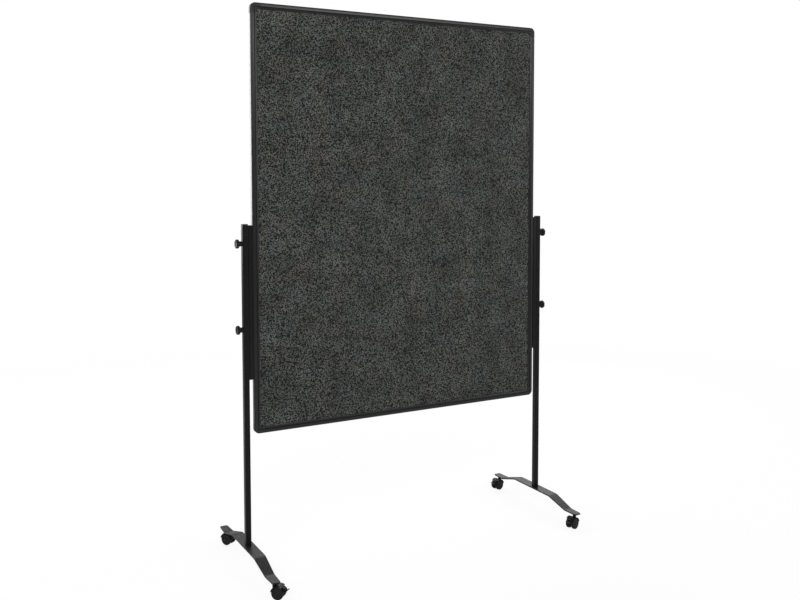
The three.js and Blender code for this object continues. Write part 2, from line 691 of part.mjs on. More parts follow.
// ---------------------------------------------------------------- castor
// Castor pieces share one frame: the swivel axis is Z, the floor is Z = 0, and the wheels
// trail towards +X on an axle along Y.
function castorStem() {
  const flangeTop = CASTOR_HEIGHT - SEAT_GAP;
  const flangeFoot = flangeTop - STEM_FLANGE_THICKNESS;
  const top = tabTop - SEAT_GAP;
  return revolved([
    [0, STEM_TIP],
    [STEM_RADIUS - STEM_CHAMFER, STEM_TIP],
    [STEM_RADIUS, STEM_TIP + STEM_CHAMFER],
    [STEM_RADIUS, flangeFoot],
    [STEM_FLANGE_RADIUS, flangeFoot],
    [STEM_FLANGE_RADIUS, flangeTop],
    [STEM_RADIUS, flangeTop],
    [STEM_RADIUS, top],
    [0, top],
  ], 'z', 12);
}

const leverPivot = [
  leverPivotRadius * Math.cos(radians(LEVER_PIVOT_ANGLE)),
  leverPivotRadius * Math.sin(radians(LEVER_PIVOT_ANGLE)),
];
const atAxle = (geometry) => geometry.translate(TRAIL, 0, WHEEL_RADIUS);

// A web between the wheels carries the stem's socket, the axle, the fender and the pivot of
// the brake lever.
function castorHousing() {
  const webRadius = (fenderInner + fenderOuter) / 2;
  const web = atAxle(extrudedAlongY(
    pieSector(webRadius, LEVER_PIVOT_ANGLE, FENDER_FRONT - WEB_MARGIN), WEB_THICKNESS, 8));
  const axleBoss = atAxle(bar('y', WEB_BOSS_RADIUS, WEB_THICKNESS, [0, 0, 0], 16));
  const fenderWidth = 2 * (wheelOuter + FENDER_OVERHANG);
  const fender = atAxle(extrudedAlongY(
    ringSector(fenderInner, fenderOuter, FENDER_BACK, FENDER_FRONT), fenderWidth, 8));
  const neckTop = CASTOR_HEIGHT - 2 * SEAT_GAP - STEM_FLANGE_THICKNESS;
  const socketFloor = STEM_TIP - SEAT_GAP;
  const neckFoot = socketFloor - SOCKET_BOTTOM;
  const [neckHalf, webHalf] = [NECK_LENGTH / 2, WEB_THICKNESS / 2];
  const neck = extruded(roundedShape([
    [neckHalf, -webHalf, NECK_END_RADIUS],
    [neckHalf, webHalf, NECK_END_RADIUS],
    [-neckHalf, webHalf, NECK_END_RADIUS],
    [-neckHalf, -webHalf, NECK_END_RADIUS],
  ], 3), neckTop - neckFoot).translate(0, 0, neckFoot);
  const eye = atAxle(bar('y', LEVER_EYE_RADIUS, WEB_THICKNESS,
    [leverPivot[0], 0, leverPivot[1]], 12));
  const pinLength = WEB_THICKNESS + 2 * (RUNNING_GAP + LEVER_CHEEK);
  const pin = atAxle(bar('y', LEVER_PIN_RADIUS, pinLength,
    [leverPivot[0], 0, leverPivot[1]], 8));
  const stemBore = bar('z', STEM_RADIUS + HOLE_CLEARANCE, CASTOR_HEIGHT,
    [0, 0, socketFloor + CASTOR_HEIGHT / 2], 12);
  const axleBore = atAxle(bar('y', AXLE_RADIUS + HOLE_CLEARANCE, 2 * WEB_THICKNESS,
    [0, 0, 0], 12));
  const solid = join(web, axleBoss, fender, neck, eye, pin);
  return toGeometry(cut(solid, stemBore, axleBore));
}

function castorAxle() {
  const half = wheelOuter - DISH_DEPTH / 2;
  return atAxle(revolved([
    [0, -half],
    [AXLE_RADIUS - AXLE_CHAMFER, -half],
    [AXLE_RADIUS, -half + AXLE_CHAMFER],
    [AXLE_RADIUS, half - AXLE_CHAMFER],
    [AXLE_RADIUS - AXLE_CHAMFER, half],
    [0, half],
  ], 'y', 10));
}

// A wheel on the +Y side: a rounded tread, a dished outer face and a hub.
function castorWheel() {
  const bore = AXLE_RADIUS + HOLE_CLEARANCE;
  const rim = WHEEL_RADIUS - RIM_WIDTH;
  const dish = wheelOuter - DISH_DEPTH;
  const profile = [
    [bore, wheelInner],
    [WHEEL_RADIUS - TREAD_EDGE, wheelInner],
    [WHEEL_RADIUS, wheelInner + TREAD_EDGE],
    [WHEEL_RADIUS, wheelOuter - TREAD_EDGE],
    [WHEEL_RADIUS - TREAD_EDGE, wheelOuter],
    [rim, wheelOuter],
    [rim - DISH_SLOPE, dish],
    [HUB_RADIUS + DISH_SLOPE, dish],
    [HUB_RADIUS, wheelOuter - HUB_RECESS],
    [bore, wheelOuter - HUB_RECESS],
    [bore, wheelInner],
  ];
  return revolved(profile, 'y', 18);
}

// Two cheeks hang on the housing's pin and carry a plate over the treads, with a tongue for
// the foot. Pressed down, the plate closes on both wheels.
function brakeLever() {
  const [pivotX, pivotZ] = leverPivot;
  const cheekMiddle = WEB_THICKNESS / 2 + RUNNING_GAP + LEVER_CHEEK / 2;
  const plateInner = leverPivotRadius - LEVER_PLATE_THICKNESS / 2;
  const plateOuter = leverPivotRadius + LEVER_PLATE_THICKNESS / 2;
  const eyeSpan = (LEVER_EYE_RADIUS + RUNNING_GAP) / leverPivotRadius;
  const plateStart = LEVER_PIVOT_ANGLE - THREE.MathUtils.radToDeg(eyeSpan);
  const plate = atAxle(extrudedAlongY(
    ringSector(plateInner, plateOuter, LEVER_PLATE_END, plateStart), LEVER_PLATE_WIDTH, 3));
  const cheeks = [-1, 1].flatMap((side) => {
    const eye = bar('y', LEVER_EYE_RADIUS, LEVER_CHEEK, [pivotX, side * cheekMiddle, pivotZ], 12);
    const link = extrudedAlongY(ringSector(plateInner + LEVER_LINK_INSET,
      plateOuter - LEVER_LINK_INSET, plateStart - LEVER_OVERLAP, LEVER_PIVOT_ANGLE),
    LEVER_CHEEK, 2);
    return [atAxle(eye), atAxle(link.translate(0, side * cheekMiddle, 0))];
  });
  const length = LEVER_TONGUE_LENGTH + LEVER_PLATE_THICKNESS;
  const half = LEVER_PLATE_THICKNESS / 2;
  const tongueShape = roundedShape([
    [0, -half],
    [length, -half, LEVER_TONGUE_ROUNDING],
    [length, half, LEVER_TONGUE_ROUNDING],
    [0, half],
  ], 2);
  const rootAngle = radians(LEVER_PLATE_END + LEVER_OVERLAP);
  const tongue = atAxle(extrudedAlongY(tongueShape, LEVER_TONGUE_WIDTH)
    .rotateY(-radians(LEVER_TONGUE_SLOPE))
    .translate(leverPivotRadius * Math.cos(rootAngle), 0, leverPivotRadius * Math.sin(rootAngle)));
  const bore = atAxle(bar('y', LEVER_PIN_RADIUS + HOLE_CLEARANCE, 2 * LEVER_PLATE_WIDTH,
    [pivotX, 0, pivotZ], 8));
  return toGeometry(cut(join(plate, ...cheeks, tongue), bore));
}

function castor(name) {
  const group = new THREE.Group();
  group.add(
    piece(`${name}_housing`, castorHousing(), 'castor'),
    piece(`${name}_axle`, castorAxle(), 'steel'),
    piece(`${name}_brake_lever`, brakeLever(), 'castor'),
    piece(`${name}_wheel_a`, atAxle(castorWheel()), 'castor'),
    piece(`${name}_wheel_b`, atAxle(castorWheel().rotateX(Math.PI)), 'castor'),
    piece(`${name}_stem`, castorStem(), 'steel'),
  );
  return group;
}

// ---------------------------------------------------------------- stand
// Both stands are built for the right-hand side; the left one is turned half round.
function stand(side, turn) {
  const group = new THREE.Group();
  group.rotation.z = turn;
  const upright = piece(`post_${side}`, post(), 'powder');
  upright.position.set(postCentre, 0, postFoot);
  const cap = piece(`post_cap_${side}`, postCap(), 'moulding');
  cap.position.set(postCentre, 0, postTop + SEAT_GAP);
  const plug = piece(`base_plug_${side}`, basePlug(), 'steel');
  plug.position.set(postCentre, 0, postFoot);
  const foot = piece(`foot_plate_${side}`, footPlate(), 'powder');
  foot.position.x = postCentre;
  const screw = piece(`foot_screw_${side}`, footScrew(), 'steel');
  screw.position.set(postCentre, 0, footTop - FOOT_THICKNESS - SEAT_GAP);
  group.add(upright, cap, plug, foot, screw);

  const headFace = frameHalfWidth + SEAT_GAP + RAIL_DEPTH - RAIL_LIP - SEAT_GAP;
  const knobFoot = postCentre + POST_SIZE / 2 + SEAT_GAP;
  for (const [level, height] of Object.entries(boltHeights)) {
    const bolt = piece(`rail_bolt_${side}_${level}`, railBolt(), 'steel');
    bolt.position.set(headFace, 0, height);
    const knob = piece(`knob_${side}_${level}`, clampKnob(), 'moulding');
    knob.position.set(knobFoot, 0, height);
    group.add(bolt, knob);
  }

  for (const [end, y] of [['front', -castorReach], ['rear', castorReach]]) {
    const place = `${side}_${end}`;
    const wheels = castor(`castor_${place}`);
    wheels.position.set(postCentre, Math.cos(turn) * y, 0);
    wheels.rotation.z = radians(SWIVEL[place]) - turn;
    group.add(wheels);
  }
  return group;
}

const partition = new THREE.Group();
partition.add(board(), stand('left', Math.PI), stand('right', 0));

export default partition;
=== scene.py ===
# %% [markdown]
# # A rolling partition
# A pinboard in an aluminium frame, held between two square posts. Each post stands on a bent
# flat bar with a castor at each end. All sizes could be typed in again here, but they come from
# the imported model, which is loaded first: so every new piece is made where that model has the
# same piece, and moves with its body.

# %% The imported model
import json
import math

import bmesh
import bpy
from mathutils import Matrix, Vector

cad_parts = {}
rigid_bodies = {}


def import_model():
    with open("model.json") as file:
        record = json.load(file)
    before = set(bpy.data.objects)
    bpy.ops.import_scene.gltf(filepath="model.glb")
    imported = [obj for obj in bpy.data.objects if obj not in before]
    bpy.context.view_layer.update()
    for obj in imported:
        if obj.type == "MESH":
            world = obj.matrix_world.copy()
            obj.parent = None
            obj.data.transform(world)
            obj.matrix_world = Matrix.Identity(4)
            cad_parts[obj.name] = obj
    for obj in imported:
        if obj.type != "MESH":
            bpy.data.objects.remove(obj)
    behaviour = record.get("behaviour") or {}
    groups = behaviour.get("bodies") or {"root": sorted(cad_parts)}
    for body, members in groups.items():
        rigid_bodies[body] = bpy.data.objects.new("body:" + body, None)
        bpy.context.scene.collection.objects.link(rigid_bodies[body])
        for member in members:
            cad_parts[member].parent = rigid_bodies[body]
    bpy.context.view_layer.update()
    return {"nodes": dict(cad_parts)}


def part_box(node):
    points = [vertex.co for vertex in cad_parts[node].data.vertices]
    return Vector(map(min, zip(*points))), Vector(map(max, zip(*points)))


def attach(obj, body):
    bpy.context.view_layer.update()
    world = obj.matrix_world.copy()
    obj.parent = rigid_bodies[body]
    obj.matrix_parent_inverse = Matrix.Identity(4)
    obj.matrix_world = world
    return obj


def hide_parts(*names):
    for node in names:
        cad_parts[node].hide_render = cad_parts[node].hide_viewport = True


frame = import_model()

# %% [markdown]
# ## The camera
# The photograph looks at the front from the left, from a little above the board's middle. A
# camera could be moved by eye until the picture agrees. This one's place, turn and lens were
# solved from the board's corners, the posts and the castors instead, so that the whole object
# falls on the photograph within two or three pixels. The slight shift stands for the crop.

# %% Camera
EYE = (-1.6765, -3.0849, 1.3981)
TURN_TO_RIGHT = math.radians(29.308)
TILT_DOWN = math.radians(3.531)
LENS = 41.771
CROP = (-0.02026, -0.08788)

bpy.ops.object.camera_add(
    location=EYE, rotation=(math.pi / 2 - TILT_DOWN, 0, -TURN_TO_RIGHT))
camera = bpy.context.object
camera.data.lens = LENS
camera.data.shift_x, camera.data.shift_y = CROP
bpy.context.scene.camera = camera
bpy.context.scene.view_settings.view_transform = "Standard"
print("camera", [round(v, 2) for v in camera.location], "lens", round(camera.data.lens, 1))

# %% [markdown]
# ## Helpers for modelling
# An operator in edit mode acts on whatever is selected. By hand that is clicked on, and in a
# script it could be a list of numbers, which breaks with the first change. So each step below
# selects vertices, edges or faces by where they are, and then extrudes, insets, bevels or
# moves them.

# %% Selecting
MM = 0.001


def nothing_selected():
    """Leaves edit mode and deselects every object."""
    if bpy.context.object and bpy.context.object.mode == "EDIT":
        bpy.ops.object.mode_set(mode="OBJECT")
    bpy.ops.object.select_all(action="DESELECT")


def only(piece):
    """Selects this object alone and makes it the active one."""
    nothing_selected()
    piece.select_set(True)
    bpy.context.view_layer.objects.active = piece


def edit(piece):
    """Enters edit mode on a piece, with vertices to select."""
    only(piece)
    bpy.ops.object.mode_set(mode="EDIT")
    bpy.ops.mesh.select_mode(type="VERT")


def pick_all():
    bpy.ops.mesh.select_all(action="SELECT")

# %% Picking by place


def pick(kind, keep):
    """Selects the vertices, edges or faces that pass the test keep(middle, direction)."""
    bpy.ops.mesh.select_mode(type=kind)
    bpy.ops.mesh.select_all(action="DESELECT")
    mesh = bmesh.from_edit_mesh(bpy.context.object.data)
    for part in {"VERT": mesh.verts, "EDGE": mesh.edges, "FACE": mesh.faces}[kind]:
        if kind == "VERT":
            middle, direction = part.co, part.normal
        elif kind == "EDGE":
            ends = [v.co for v in part.verts]
            middle, direction = (ends[0] + ends[1]) / 2, (ends[1] - ends[0]).normalized()
        else:
            middle, direction = part.calc_center_median(), part.normal
        if keep(middle, direction):
            part.select_set(True)
    mesh.select_flush_mode()
    bmesh.update_edit_mesh(bpy.context.object.data)


def near(a, b, within=0.02 * MM):
    """True when two lengths agree."""
    return abs(a - b) < within

# %% Cutting, moving and extruding


def cut_at(point, normal):
    """A straight cut through everything, which leaves new edges on the plane."""
    pick_all()
    bpy.ops.mesh.bisect(plane_co=point, plane_no=normal, threshold=0.001 * MM)


def push(x=0.0, y=0.0, z=0.0):
    """Moves what is selected."""
    bpy.ops.transform.translate(value=(x, y, z))


def pull_out(x=0.0, y=0.0, z=0.0):
    """Extrudes what is selected."""
    bpy.ops.mesh.extrude_region_move(TRANSFORM_OT_translate={"value": (x, y, z)})

# %% [markdown]
# ## Helpers for finishing
# A finished piece has its place in its mesh, so that its object sits at the origin like the
# loaded ones. It could keep its modifiers, but they are applied here, so that the mesh holds
# what is seen. It is shaded smooth apart from its real edges, and stands for its CAD node.

# %% Placing and finishing
FINE_EDGE = 0.25 * MM


def settle(piece):
    """Puts the object's place, turn and size into its mesh."""
    only(piece)
    bpy.ops.object.transform_apply(location=True, rotation=True, scale=True)


def copy_of(piece, name, place=Matrix.Identity(4)):
    """A copy with its own mesh, moved to its place."""
    twin = piece.copy()
    twin.data = piece.data.copy()
    twin.name = name
    bpy.context.scene.collection.objects.link(twin)
    twin.data.transform(place)
    return twin

# %% Modifiers


def modified(piece, kind, **settings):
    """Adds a modifier and applies it."""
    only(piece)
    bpy.ops.object.modifier_add(type=kind)
    modifier = piece.modifiers[-1]
    for name, value in settings.items():
        setattr(modifier, name, value)
    bpy.ops.object.modifier_apply(modifier=modifier.name)


def soften(piece, width, segments=2, angle=35):
    """A small bevel along every edge that is sharper than the angle."""
    modified(piece, "BEVEL", width=width, segments=segments, limit_method="ANGLE",
             angle_limit=math.radians(angle), harden_normals=False)


def carve(piece, tool, operation="DIFFERENCE"):
    """Cuts a tool out of the piece, or joins it on, and removes the tool."""
    modified(piece, "BOOLEAN", object=tool, operation=operation, solver="EXACT")
    bpy.data.objects.remove(tool)

# %% Closing a piece and handing it over


def outward(piece, angle=32):
    """Merged, with its faces turned outwards and smooth up to the angle."""
    edit(piece)
    pick_all()
    bpy.ops.mesh.remove_doubles(threshold=0.002 * MM)
    bpy.ops.mesh.normals_make_consistent(inside=False)
    only(piece)
    bpy.ops.object.shade_smooth_by_angle(angle=math.radians(angle))


def stand_in(piece, body, finish, *nodes):
    """The piece replaces CAD nodes, rides on their body and gets a finish."""
    piece.data.materials.clear()
    piece.data.materials.append(finish)
    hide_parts(*nodes)
    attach(piece, body)
    print(piece.name, len(piece.data.polygons), "faces on", body)
    return piece

# %% [markdown]
# ## Helpers for finishes
# A finish could be a photograph wrapped round the piece. Here it is a Principled shader fed by
# a few texture nodes, which stay sharp from any distance and need no unwrapping. Patterns are
# measured in metres, because every object sits at the origin and its own coordinates are the
# real ones.

# %% Shader nodes


def finish_named(name, slot, roughness, metallic=0.0, specular=0.5, sheen=0.0):
    """A material whose even values are set on the shader itself."""
    material = bpy.data.materials.new(name)
    material.use_nodes = True
    material["slot"] = slot
    shader = material.node_tree.nodes["Principled BSDF"]
    shader.inputs["Roughness"].default_value = roughness
    shader.inputs["Metallic"].default_value = metallic
    shader.inputs["Specular IOR Level"].default_value = specular
    shader.inputs["Sheen Weight"].default_value = sheen
    shader.inputs["Sheen Roughness"].default_value = 0.5
    return material


def wire(material, kind, inputs=None, **settings):
    """A node with its settings made, and its sockets set or linked."""
    tree = material.node_tree
    node = tree.nodes.new("ShaderNode" + kind)
    for name, value in settings.items():
        setattr(node, name, value)
    for name, value in (inputs or {}).items():
        if isinstance(value, bpy.types.NodeSocket):
            tree.links.new(value, node.inputs[name])
        else:
            node.inputs[name].default_value = value
    return node

# %% Patterns and colours


def place_of(material, stretch=(1, 1, 1)):
    """The piece's own coordinates in metres, stretched along chosen axes."""
    where = wire(material, "TexCoord").outputs["Object"]
    return wire(material, "Mapping", {"Vector": where, "Scale": stretch}).outputs[0]


def noise(material, where, per_metre, detail=2.0, roughness=0.5):
    """Soft random values from 0 to 1, with so many features to the metre."""
    return wire(material, "TexNoise", {"Vector": where, "Scale": per_metre, "Detail": detail,
                                       "Roughness": roughness}).outputs["Fac"]


def between(material, value, low, high, to_low, to_high):
    """Stretches the span from low to high onto another span."""
    return wire(material, "MapRange", {"Value": value, "From Min": low, "From Max": high,
                                       "To Min": to_low, "To Max": to_high}).outputs[0]


def blend_of(material, share, first, second, how="MIX"):
    """Mixes two colours by a share from 0 to 1."""
    return wire(material, "Mix", {0: share, 6: first, 7: second},
                data_type="RGBA", blend_type=how).outputs[2]


def shades(material, value, dark, light):
    """Colours from dark to light as the value goes from 0 to 1."""
    ramp = wire(material, "ValToRGB", {"Fac": value})
    ramp.color_ramp.elements[0].color = dark
    ramp.color_ramp.elements[1].color = light
    return ramp.outputs[0]


def relief(material, height, depth, strength=1.0):
    """A bump of a real depth in metres."""
    return wire(material, "Bump", {"Height": height, "Distance": depth,
                                   "Strength": strength}).outputs[0]

# %% Feeding the shader


def apply_to(material, colour=None, roughness=None, bump=None):
    """Feeds the shader."""
    tree = material.node_tree
    shader = tree.nodes["Principled BSDF"]
    for name, value in (("Base Color", colour), ("Roughness", roughness), ("Normal", bump)):
        if value is not None:
            tree.links.new(value, shader.inputs[name])


def grey(level, tint=(1.0, 1.0, 1.0)):
    """A grey with a slight tint, as red, green, blue and alpha."""
    return tuple(level * t for t in tint) + (1.0,)

# %% [markdown]
# ## Felt
# Needled felt is a mat of short fibres in several shades, so it looks speckled from a step
# away and almost even from across a room. Real fibres could be grown as hair, but nearly two
# square metres of them on each face would be far too heavy, and they lie flat anyway. Noise
# of three sizes does it: flecks of about four millimetres, clouds of a hand's breadth that
# are lighter or darker, and patches in which the grey is cooler, warmer or greener.

# %% Felt finish
FLECK_GREY = 0.077
felt_finish = finish_named("needled_felt", "felt", 0.96, specular=0.1, sheen=0.04)
where = place_of(felt_finish)


def patches(per_metre, detail, low, high, to_low=0.0, to_high=1.0, roughness=0.5):
    """Noise on the felt, with a span of its values stretched onto another."""
    values = noise(felt_finish, where, per_metre, detail, roughness)
    return between(felt_finish, values, low, high, to_low, to_high)


flecks = patches(257, 1.0, 0.46, 0.59)
clouds = patches(9, 4.0, 0.3, 0.7, 0.7, 1.3, roughness=0.62)
drift = patches(10, 2.0, 0.42, 0.58)
other_drift = patches(16, 2.0, 0.45, 0.62)
dark_fibre = grey(0.006)
cool_fibre = grey(FLECK_GREY, (0.92, 1.05, 1.01))
warm_fibre = grey(FLECK_GREY, (1.06, 1.02, 0.90))
green_fibre = grey(FLECK_GREY, (0.95, 1.08, 0.92))
pale_fibre = blend_of(felt_finish, drift, cool_fibre, warm_fibre)
pale_fibre = blend_of(felt_finish, other_drift, pale_fibre, green_fibre)
colour = blend_of(felt_finish, flecks, dark_fibre, pale_fibre)
cloud_greys = wire(felt_finish, "CombineColor",
                   {"Red": clouds, "Green": clouds, "Blue": clouds}).outputs[0]
colour = blend_of(felt_finish, 1.0, colour, cloud_greys, how="MULTIPLY")
fibres = noise(felt_finish, where, 1400, detail=4.0, roughness=0.7)
apply_to(felt_finish, colour, bump=relief(felt_finish, fibres, 0.4 * MM, 0.6))
print("felt from", len(felt_finish.node_tree.nodes), "nodes")

# %% [markdown]
# ## Black anodised aluminium
# Anodised profiles keep the fine lines of the die along their length. An anisotropic shader
# could give their gloss, but it needs a direction on every face. Noise that is stretched about
# eighty times along the profile shows the lines themselves, in the colour, the roughness and
# a slight bump.

# %% Aluminium finishes
DIE_LINES = 1500
LINE_STRETCH = 0.012


def anodised(name, along, level, specular):
    """Die lines along one axis, which is 0 for X and 2 for Z."""
    material = finish_named(name, "frame", 0.3, metallic=0.2, specular=specular)
    stretch = [1.0, 1.0, 1.0]
    stretch[along] = LINE_STRETCH
    lines = noise(material, place_of(material, stretch), DIE_LINES, 3.0, 0.6)
    tone = shades(material, lines, grey(level * 0.65), grey(level * 1.35))
    gloss = between(material, lines, 0.25, 0.75, 0.24, 0.38)
    apply_to(material, tone, gloss, relief(material, lines, 0.01 * MM, 0.5))
    return material


upright_aluminium = anodised("anodised_upright", 2, 0.009, 0.32)
level_aluminium = anodised("anodised_level", 0, 0.009, 0.32)
rail_aluminium = anodised("anodised_rail", 2, 0.005, 0.2)
print("aluminium:", [m.name for m in (upright_aluminium, level_aluminium, rail_aluminium)])

# %% [markdown]
# ## Moulded plastic, powder coat, steel, tread and board
# Moulded parts carry the fine grain of an eroded mould. Powder coat is smoother, with the
# slow ripple called orange peel. Zinc on steel has soft spangles, and the castors' stems are
# blackened. One plain black would do from across a room, but each of these takes the light in
# its own way, so each kind has a function and only its numbers change from piece to piece.

# %% Plastic finish


def moulded(name, slot, level, roughness):
    """Fine grain, and a slow cloud in the colour."""
    material = finish_named(name, slot, roughness, specular=0.16)
    where = place_of(material)
    grain = noise(material, where, 2600, 2.0)
    cloud = noise(material, where, 90, 2.0)
    tone = shades(material, cloud, grey(level * 0.8), grey(level * 1.2, (1.0, 1.0, 1.03)))
    gloss = between(material, grain, 0.3, 0.7, roughness - 0.06, roughness + 0.08)
    apply_to(material, tone, gloss, relief(material, grain, 0.03 * MM, 0.5))
    return material


corner_plastic = moulded("corner_plastic", "corner_moulding", 0.016, 0.42)
knob_plastic = moulded("knob_plastic", "knob", 0.006, 0.48)
castor_plastic = moulded("castor_plastic", "castor_moulding", 0.005, 0.36)
tread_plastic = moulded("tread_plastic", "wheel", 0.007, 0.55)
print("plastics:", [m.name for m in bpy.data.materials if m.name.endswith("plastic")])

# %% Powder coat, steel and softboard


def powder_coat(name, slot, level, roughness):
    """Orange peel as a bump, and fine specks."""
    material = finish_named(name, slot, roughness, specular=0.12)
    where = place_of(material)
    peel = noise(material, where, 520, 2.0, 0.4)
    specks = noise(material, where, 2400, 1.0)
    tone = shades(material, specks, grey(level * 0.7), grey(level * 1.35))
    gloss = between(material, specks, 0.3, 0.7, roughness - 0.05, roughness + 0.09)
    apply_to(material, tone, gloss, relief(material, peel, 0.05 * MM, 0.35))
    return material


def zinc_plate(name, level):
    """Spangles in the colour and the gloss."""
    material = finish_named(name, "steel", 0.35, metallic=1.0)
    spangle = wire(material, "TexVoronoi",
                   {"Vector": place_of(material), "Scale": 420}).outputs["Distance"]
    tone = shades(material, spangle, grey(level * 0.8, (1, 1, 1.04)),
                  grey(level * 1.2, (1, 1, 1.02)))
    gloss = between(material, spangle, 0.0, 0.7, 0.28, 0.46)
    apply_to(material, tone, gloss)
    return material


post_paint = powder_coat("post_powder_coat", "post", 0.004, 0.36)
foot_paint = powder_coat("foot_powder_coat", "foot", 0.007, 0.38)
zinc = zinc_plate("zinc_plate", 0.5)
black_zinc = zinc_plate("black_zinc_plate", 0.03)

softboard = finish_named("softboard", "core", 0.9, specular=0.2)
flakes = noise(softboard, place_of(softboard), 260, 4.0, 0.7)
tone = shades(softboard, flakes, grey(0.3, (1.1, 0.95, 0.7)), grey(0.52, (1.1, 0.95, 0.72)))
apply_to(softboard, tone, bump=relief(softboard, flakes, 0.2 * MM))
print("finishes:", [m.name for m in bpy.data.materials])

# %% [markdown]
# ## The felt faces
# Each face is one flat sheet, glued to the softboard and held under the frame's lip. Cloth
# simulation is for fabric that hangs or bulges, and this is drawn flat. The lip only presses
# its border down a little, so the sheet is a plane with an inset border that sinks, and
# Solidify gives it the felt's thickness.

# %% Felt sheets
FELT_THICKNESS = 1.2 * MM
UNDER_LIP = 9.5 * MM
BORDER_BEND = 5 * MM
BORDER_SINKS = 0.2 * MM


def felt_sheet(side, outwards):
    """One face's sheet; outwards is -1 at the front."""
    low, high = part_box("felt_" + side)
    face = low.y if outwards < 0 else high.y
    bpy.ops.mesh.primitive_plane_add(size=1, rotation=(-outwards * math.pi / 2, 0, 0))
    sheet = bpy.context.object
    sheet.scale = (high.x - low.x, high.z - low.z, 1)
    sheet.location = (0, face, (low.z + high.z) / 2)
    sheet.name = f"felt_{side}_sheet"
    settle(sheet)
    edit(sheet)
    pick_all()
    bpy.ops.mesh.inset(thickness=UNDER_LIP)
    bpy.ops.mesh.inset(thickness=BORDER_BEND)
    pick("VERT", lambda p, n: near(p.x, low.x) or near(p.x, high.x)
         or near(p.z, low.z) or near(p.z, high.z))
    bpy.ops.mesh.select_more()
    push(y=-outwards * BORDER_SINKS)
    modified(sheet, "SOLIDIFY", thickness=FELT_THICKNESS, offset=-1)
    outward(sheet)
    stand_in(sheet, "board", felt_finish, "felt_" + side)


felt_sheet("front", -1)
felt_sheet("back", 1)

# %% [markdown]
# ## The frame's profile
# An extrusion is one section pulled to a length, and it is modelled in the same way, instead
# of as a box with grooves cut into it: a square gets its rounded outer corners, a sloping lip,
# a fine shadow line and the groove for the panel, and is then extruded. Here X = 0 is the
# frame's outer face and Z runs along it.

# %% The section
FACE = 22 * MM
HALF_DEPTH = 11 * MM
OUTER_ROUNDING = 5 * MM
GROOVE_HALF = 6.8 * MM
GROOVE_FLOOR = -10 * MM
LIP_STARTS = -16 * MM
LIP_DROP = 2.2 * MM
SHADOW_LINE = (-12.7 * MM, -14.2 * MM, -15.7 * MM)
SHADOW_DEPTH = 2.8 * MM


def frame_section(bottom):
    """The section as a flat face at a height, in edit mode."""
    bpy.ops.mesh.primitive_plane_add(size=FACE, location=(-FACE / 2, 0, bottom))
    member = bpy.context.object
    settle(member)
    edit(member)
    pick("VERT", lambda p, n: near(p.x, 0))
    bpy.ops.mesh.bevel(offset=OUTER_ROUNDING, segments=7, affect="VERTICES")
    for x in (GROOVE_FLOOR, LIP_STARTS, *SHADOW_LINE):
        cut_at((x, 0, 0), (1, 0, 0))
    for y in (GROOVE_HALF, -GROOVE_HALF):
        cut_at((0, y, 0), (0, 1, 0))
    pick("FACE", lambda p, n: p.x < GROOVE_FLOOR and abs(p.y) < GROOVE_HALF)
    bpy.ops.mesh.delete(type="FACE")
    for sign in (-1, 1):
        pick("VERT", lambda p, n: near(p.x, -FACE) and near(p.y, sign * HALF_DEPTH))
        push(y=-sign * LIP_DROP)
        pick("VERT", lambda p, n: near(p.x, SHADOW_LINE[1]) and near(p.y, sign * HALF_DEPTH))
        push(y=-sign * SHADOW_DEPTH)
    return member

# %% Frame members


def frame_member(name, place, finish):
    """Extrudes the section and turns it into place."""
    low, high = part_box(name)
    length = max(high.x - low.x, high.z - low.z)
    member = frame_section(-length / 2)
    pick_all()
    pull_out(z=length)
    member.name = name + "_profile"
    outward(member)
    soften(member, FINE_EDGE, angle=40)
    member.data.transform(place)
    stand_in(member, "board", finish, name)


def turned(angle):
    return Matrix.Rotation(math.radians(angle), 4, "Y")


board_low, board_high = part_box("frame_left")[0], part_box("frame_right")[1]
top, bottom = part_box("frame_top")[1].z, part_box("frame_bottom")[0].z
middle = (top + bottom) / 2

frame_member("frame_right", Matrix.Translation((board_high.x, 0, middle)), upright_aluminium)
frame_member("frame_left", Matrix.Translation((board_low.x, 0, middle)) @ turned(180),
             upright_aluminium)
frame_member("frame_top", Matrix.Translation((0, 0, top)) @ turned(-90), level_aluminium)
frame_member("frame_bottom", Matrix.Translation((0, 0, bottom)) @ turned(90), level_aluminium)

# %% [markdown]
# ## The corners
# Each corner is a moulding with the profile's own face. The profile's section could be spun
# through a quarter turn, but the panel's corner stays square inside, so the outline is drawn
# instead: an L with one rounded corner, which is extruded to the board's depth and rounded
# along its outer edges. Cuts then mark the lip and the shadow line, with a mitre where they
# turn, and their lines are sunk.

# %% Corner moulding
ARM = 36 * MM
CORNER_ROUNDING = 19 * MM


def on_outer_edge(p):
    """True on the L's two outer sides and the arc between them."""
    centre = -CORNER_ROUNDING
    if p.x > centre and p.z > centre:
        return near(math.hypot(p.x - centre, p.z - centre), CORNER_ROUNDING, 0.2 * MM)
    return near(p.x, 0) or near(p.z, 0)


def on_line(p, x):
    """True along a line at this depth, round the inside of the L."""
    return (near(p.x, x) and p.z < x + 0.02 * MM) or (near(p.z, x) and p.x < x + 0.02 * MM)


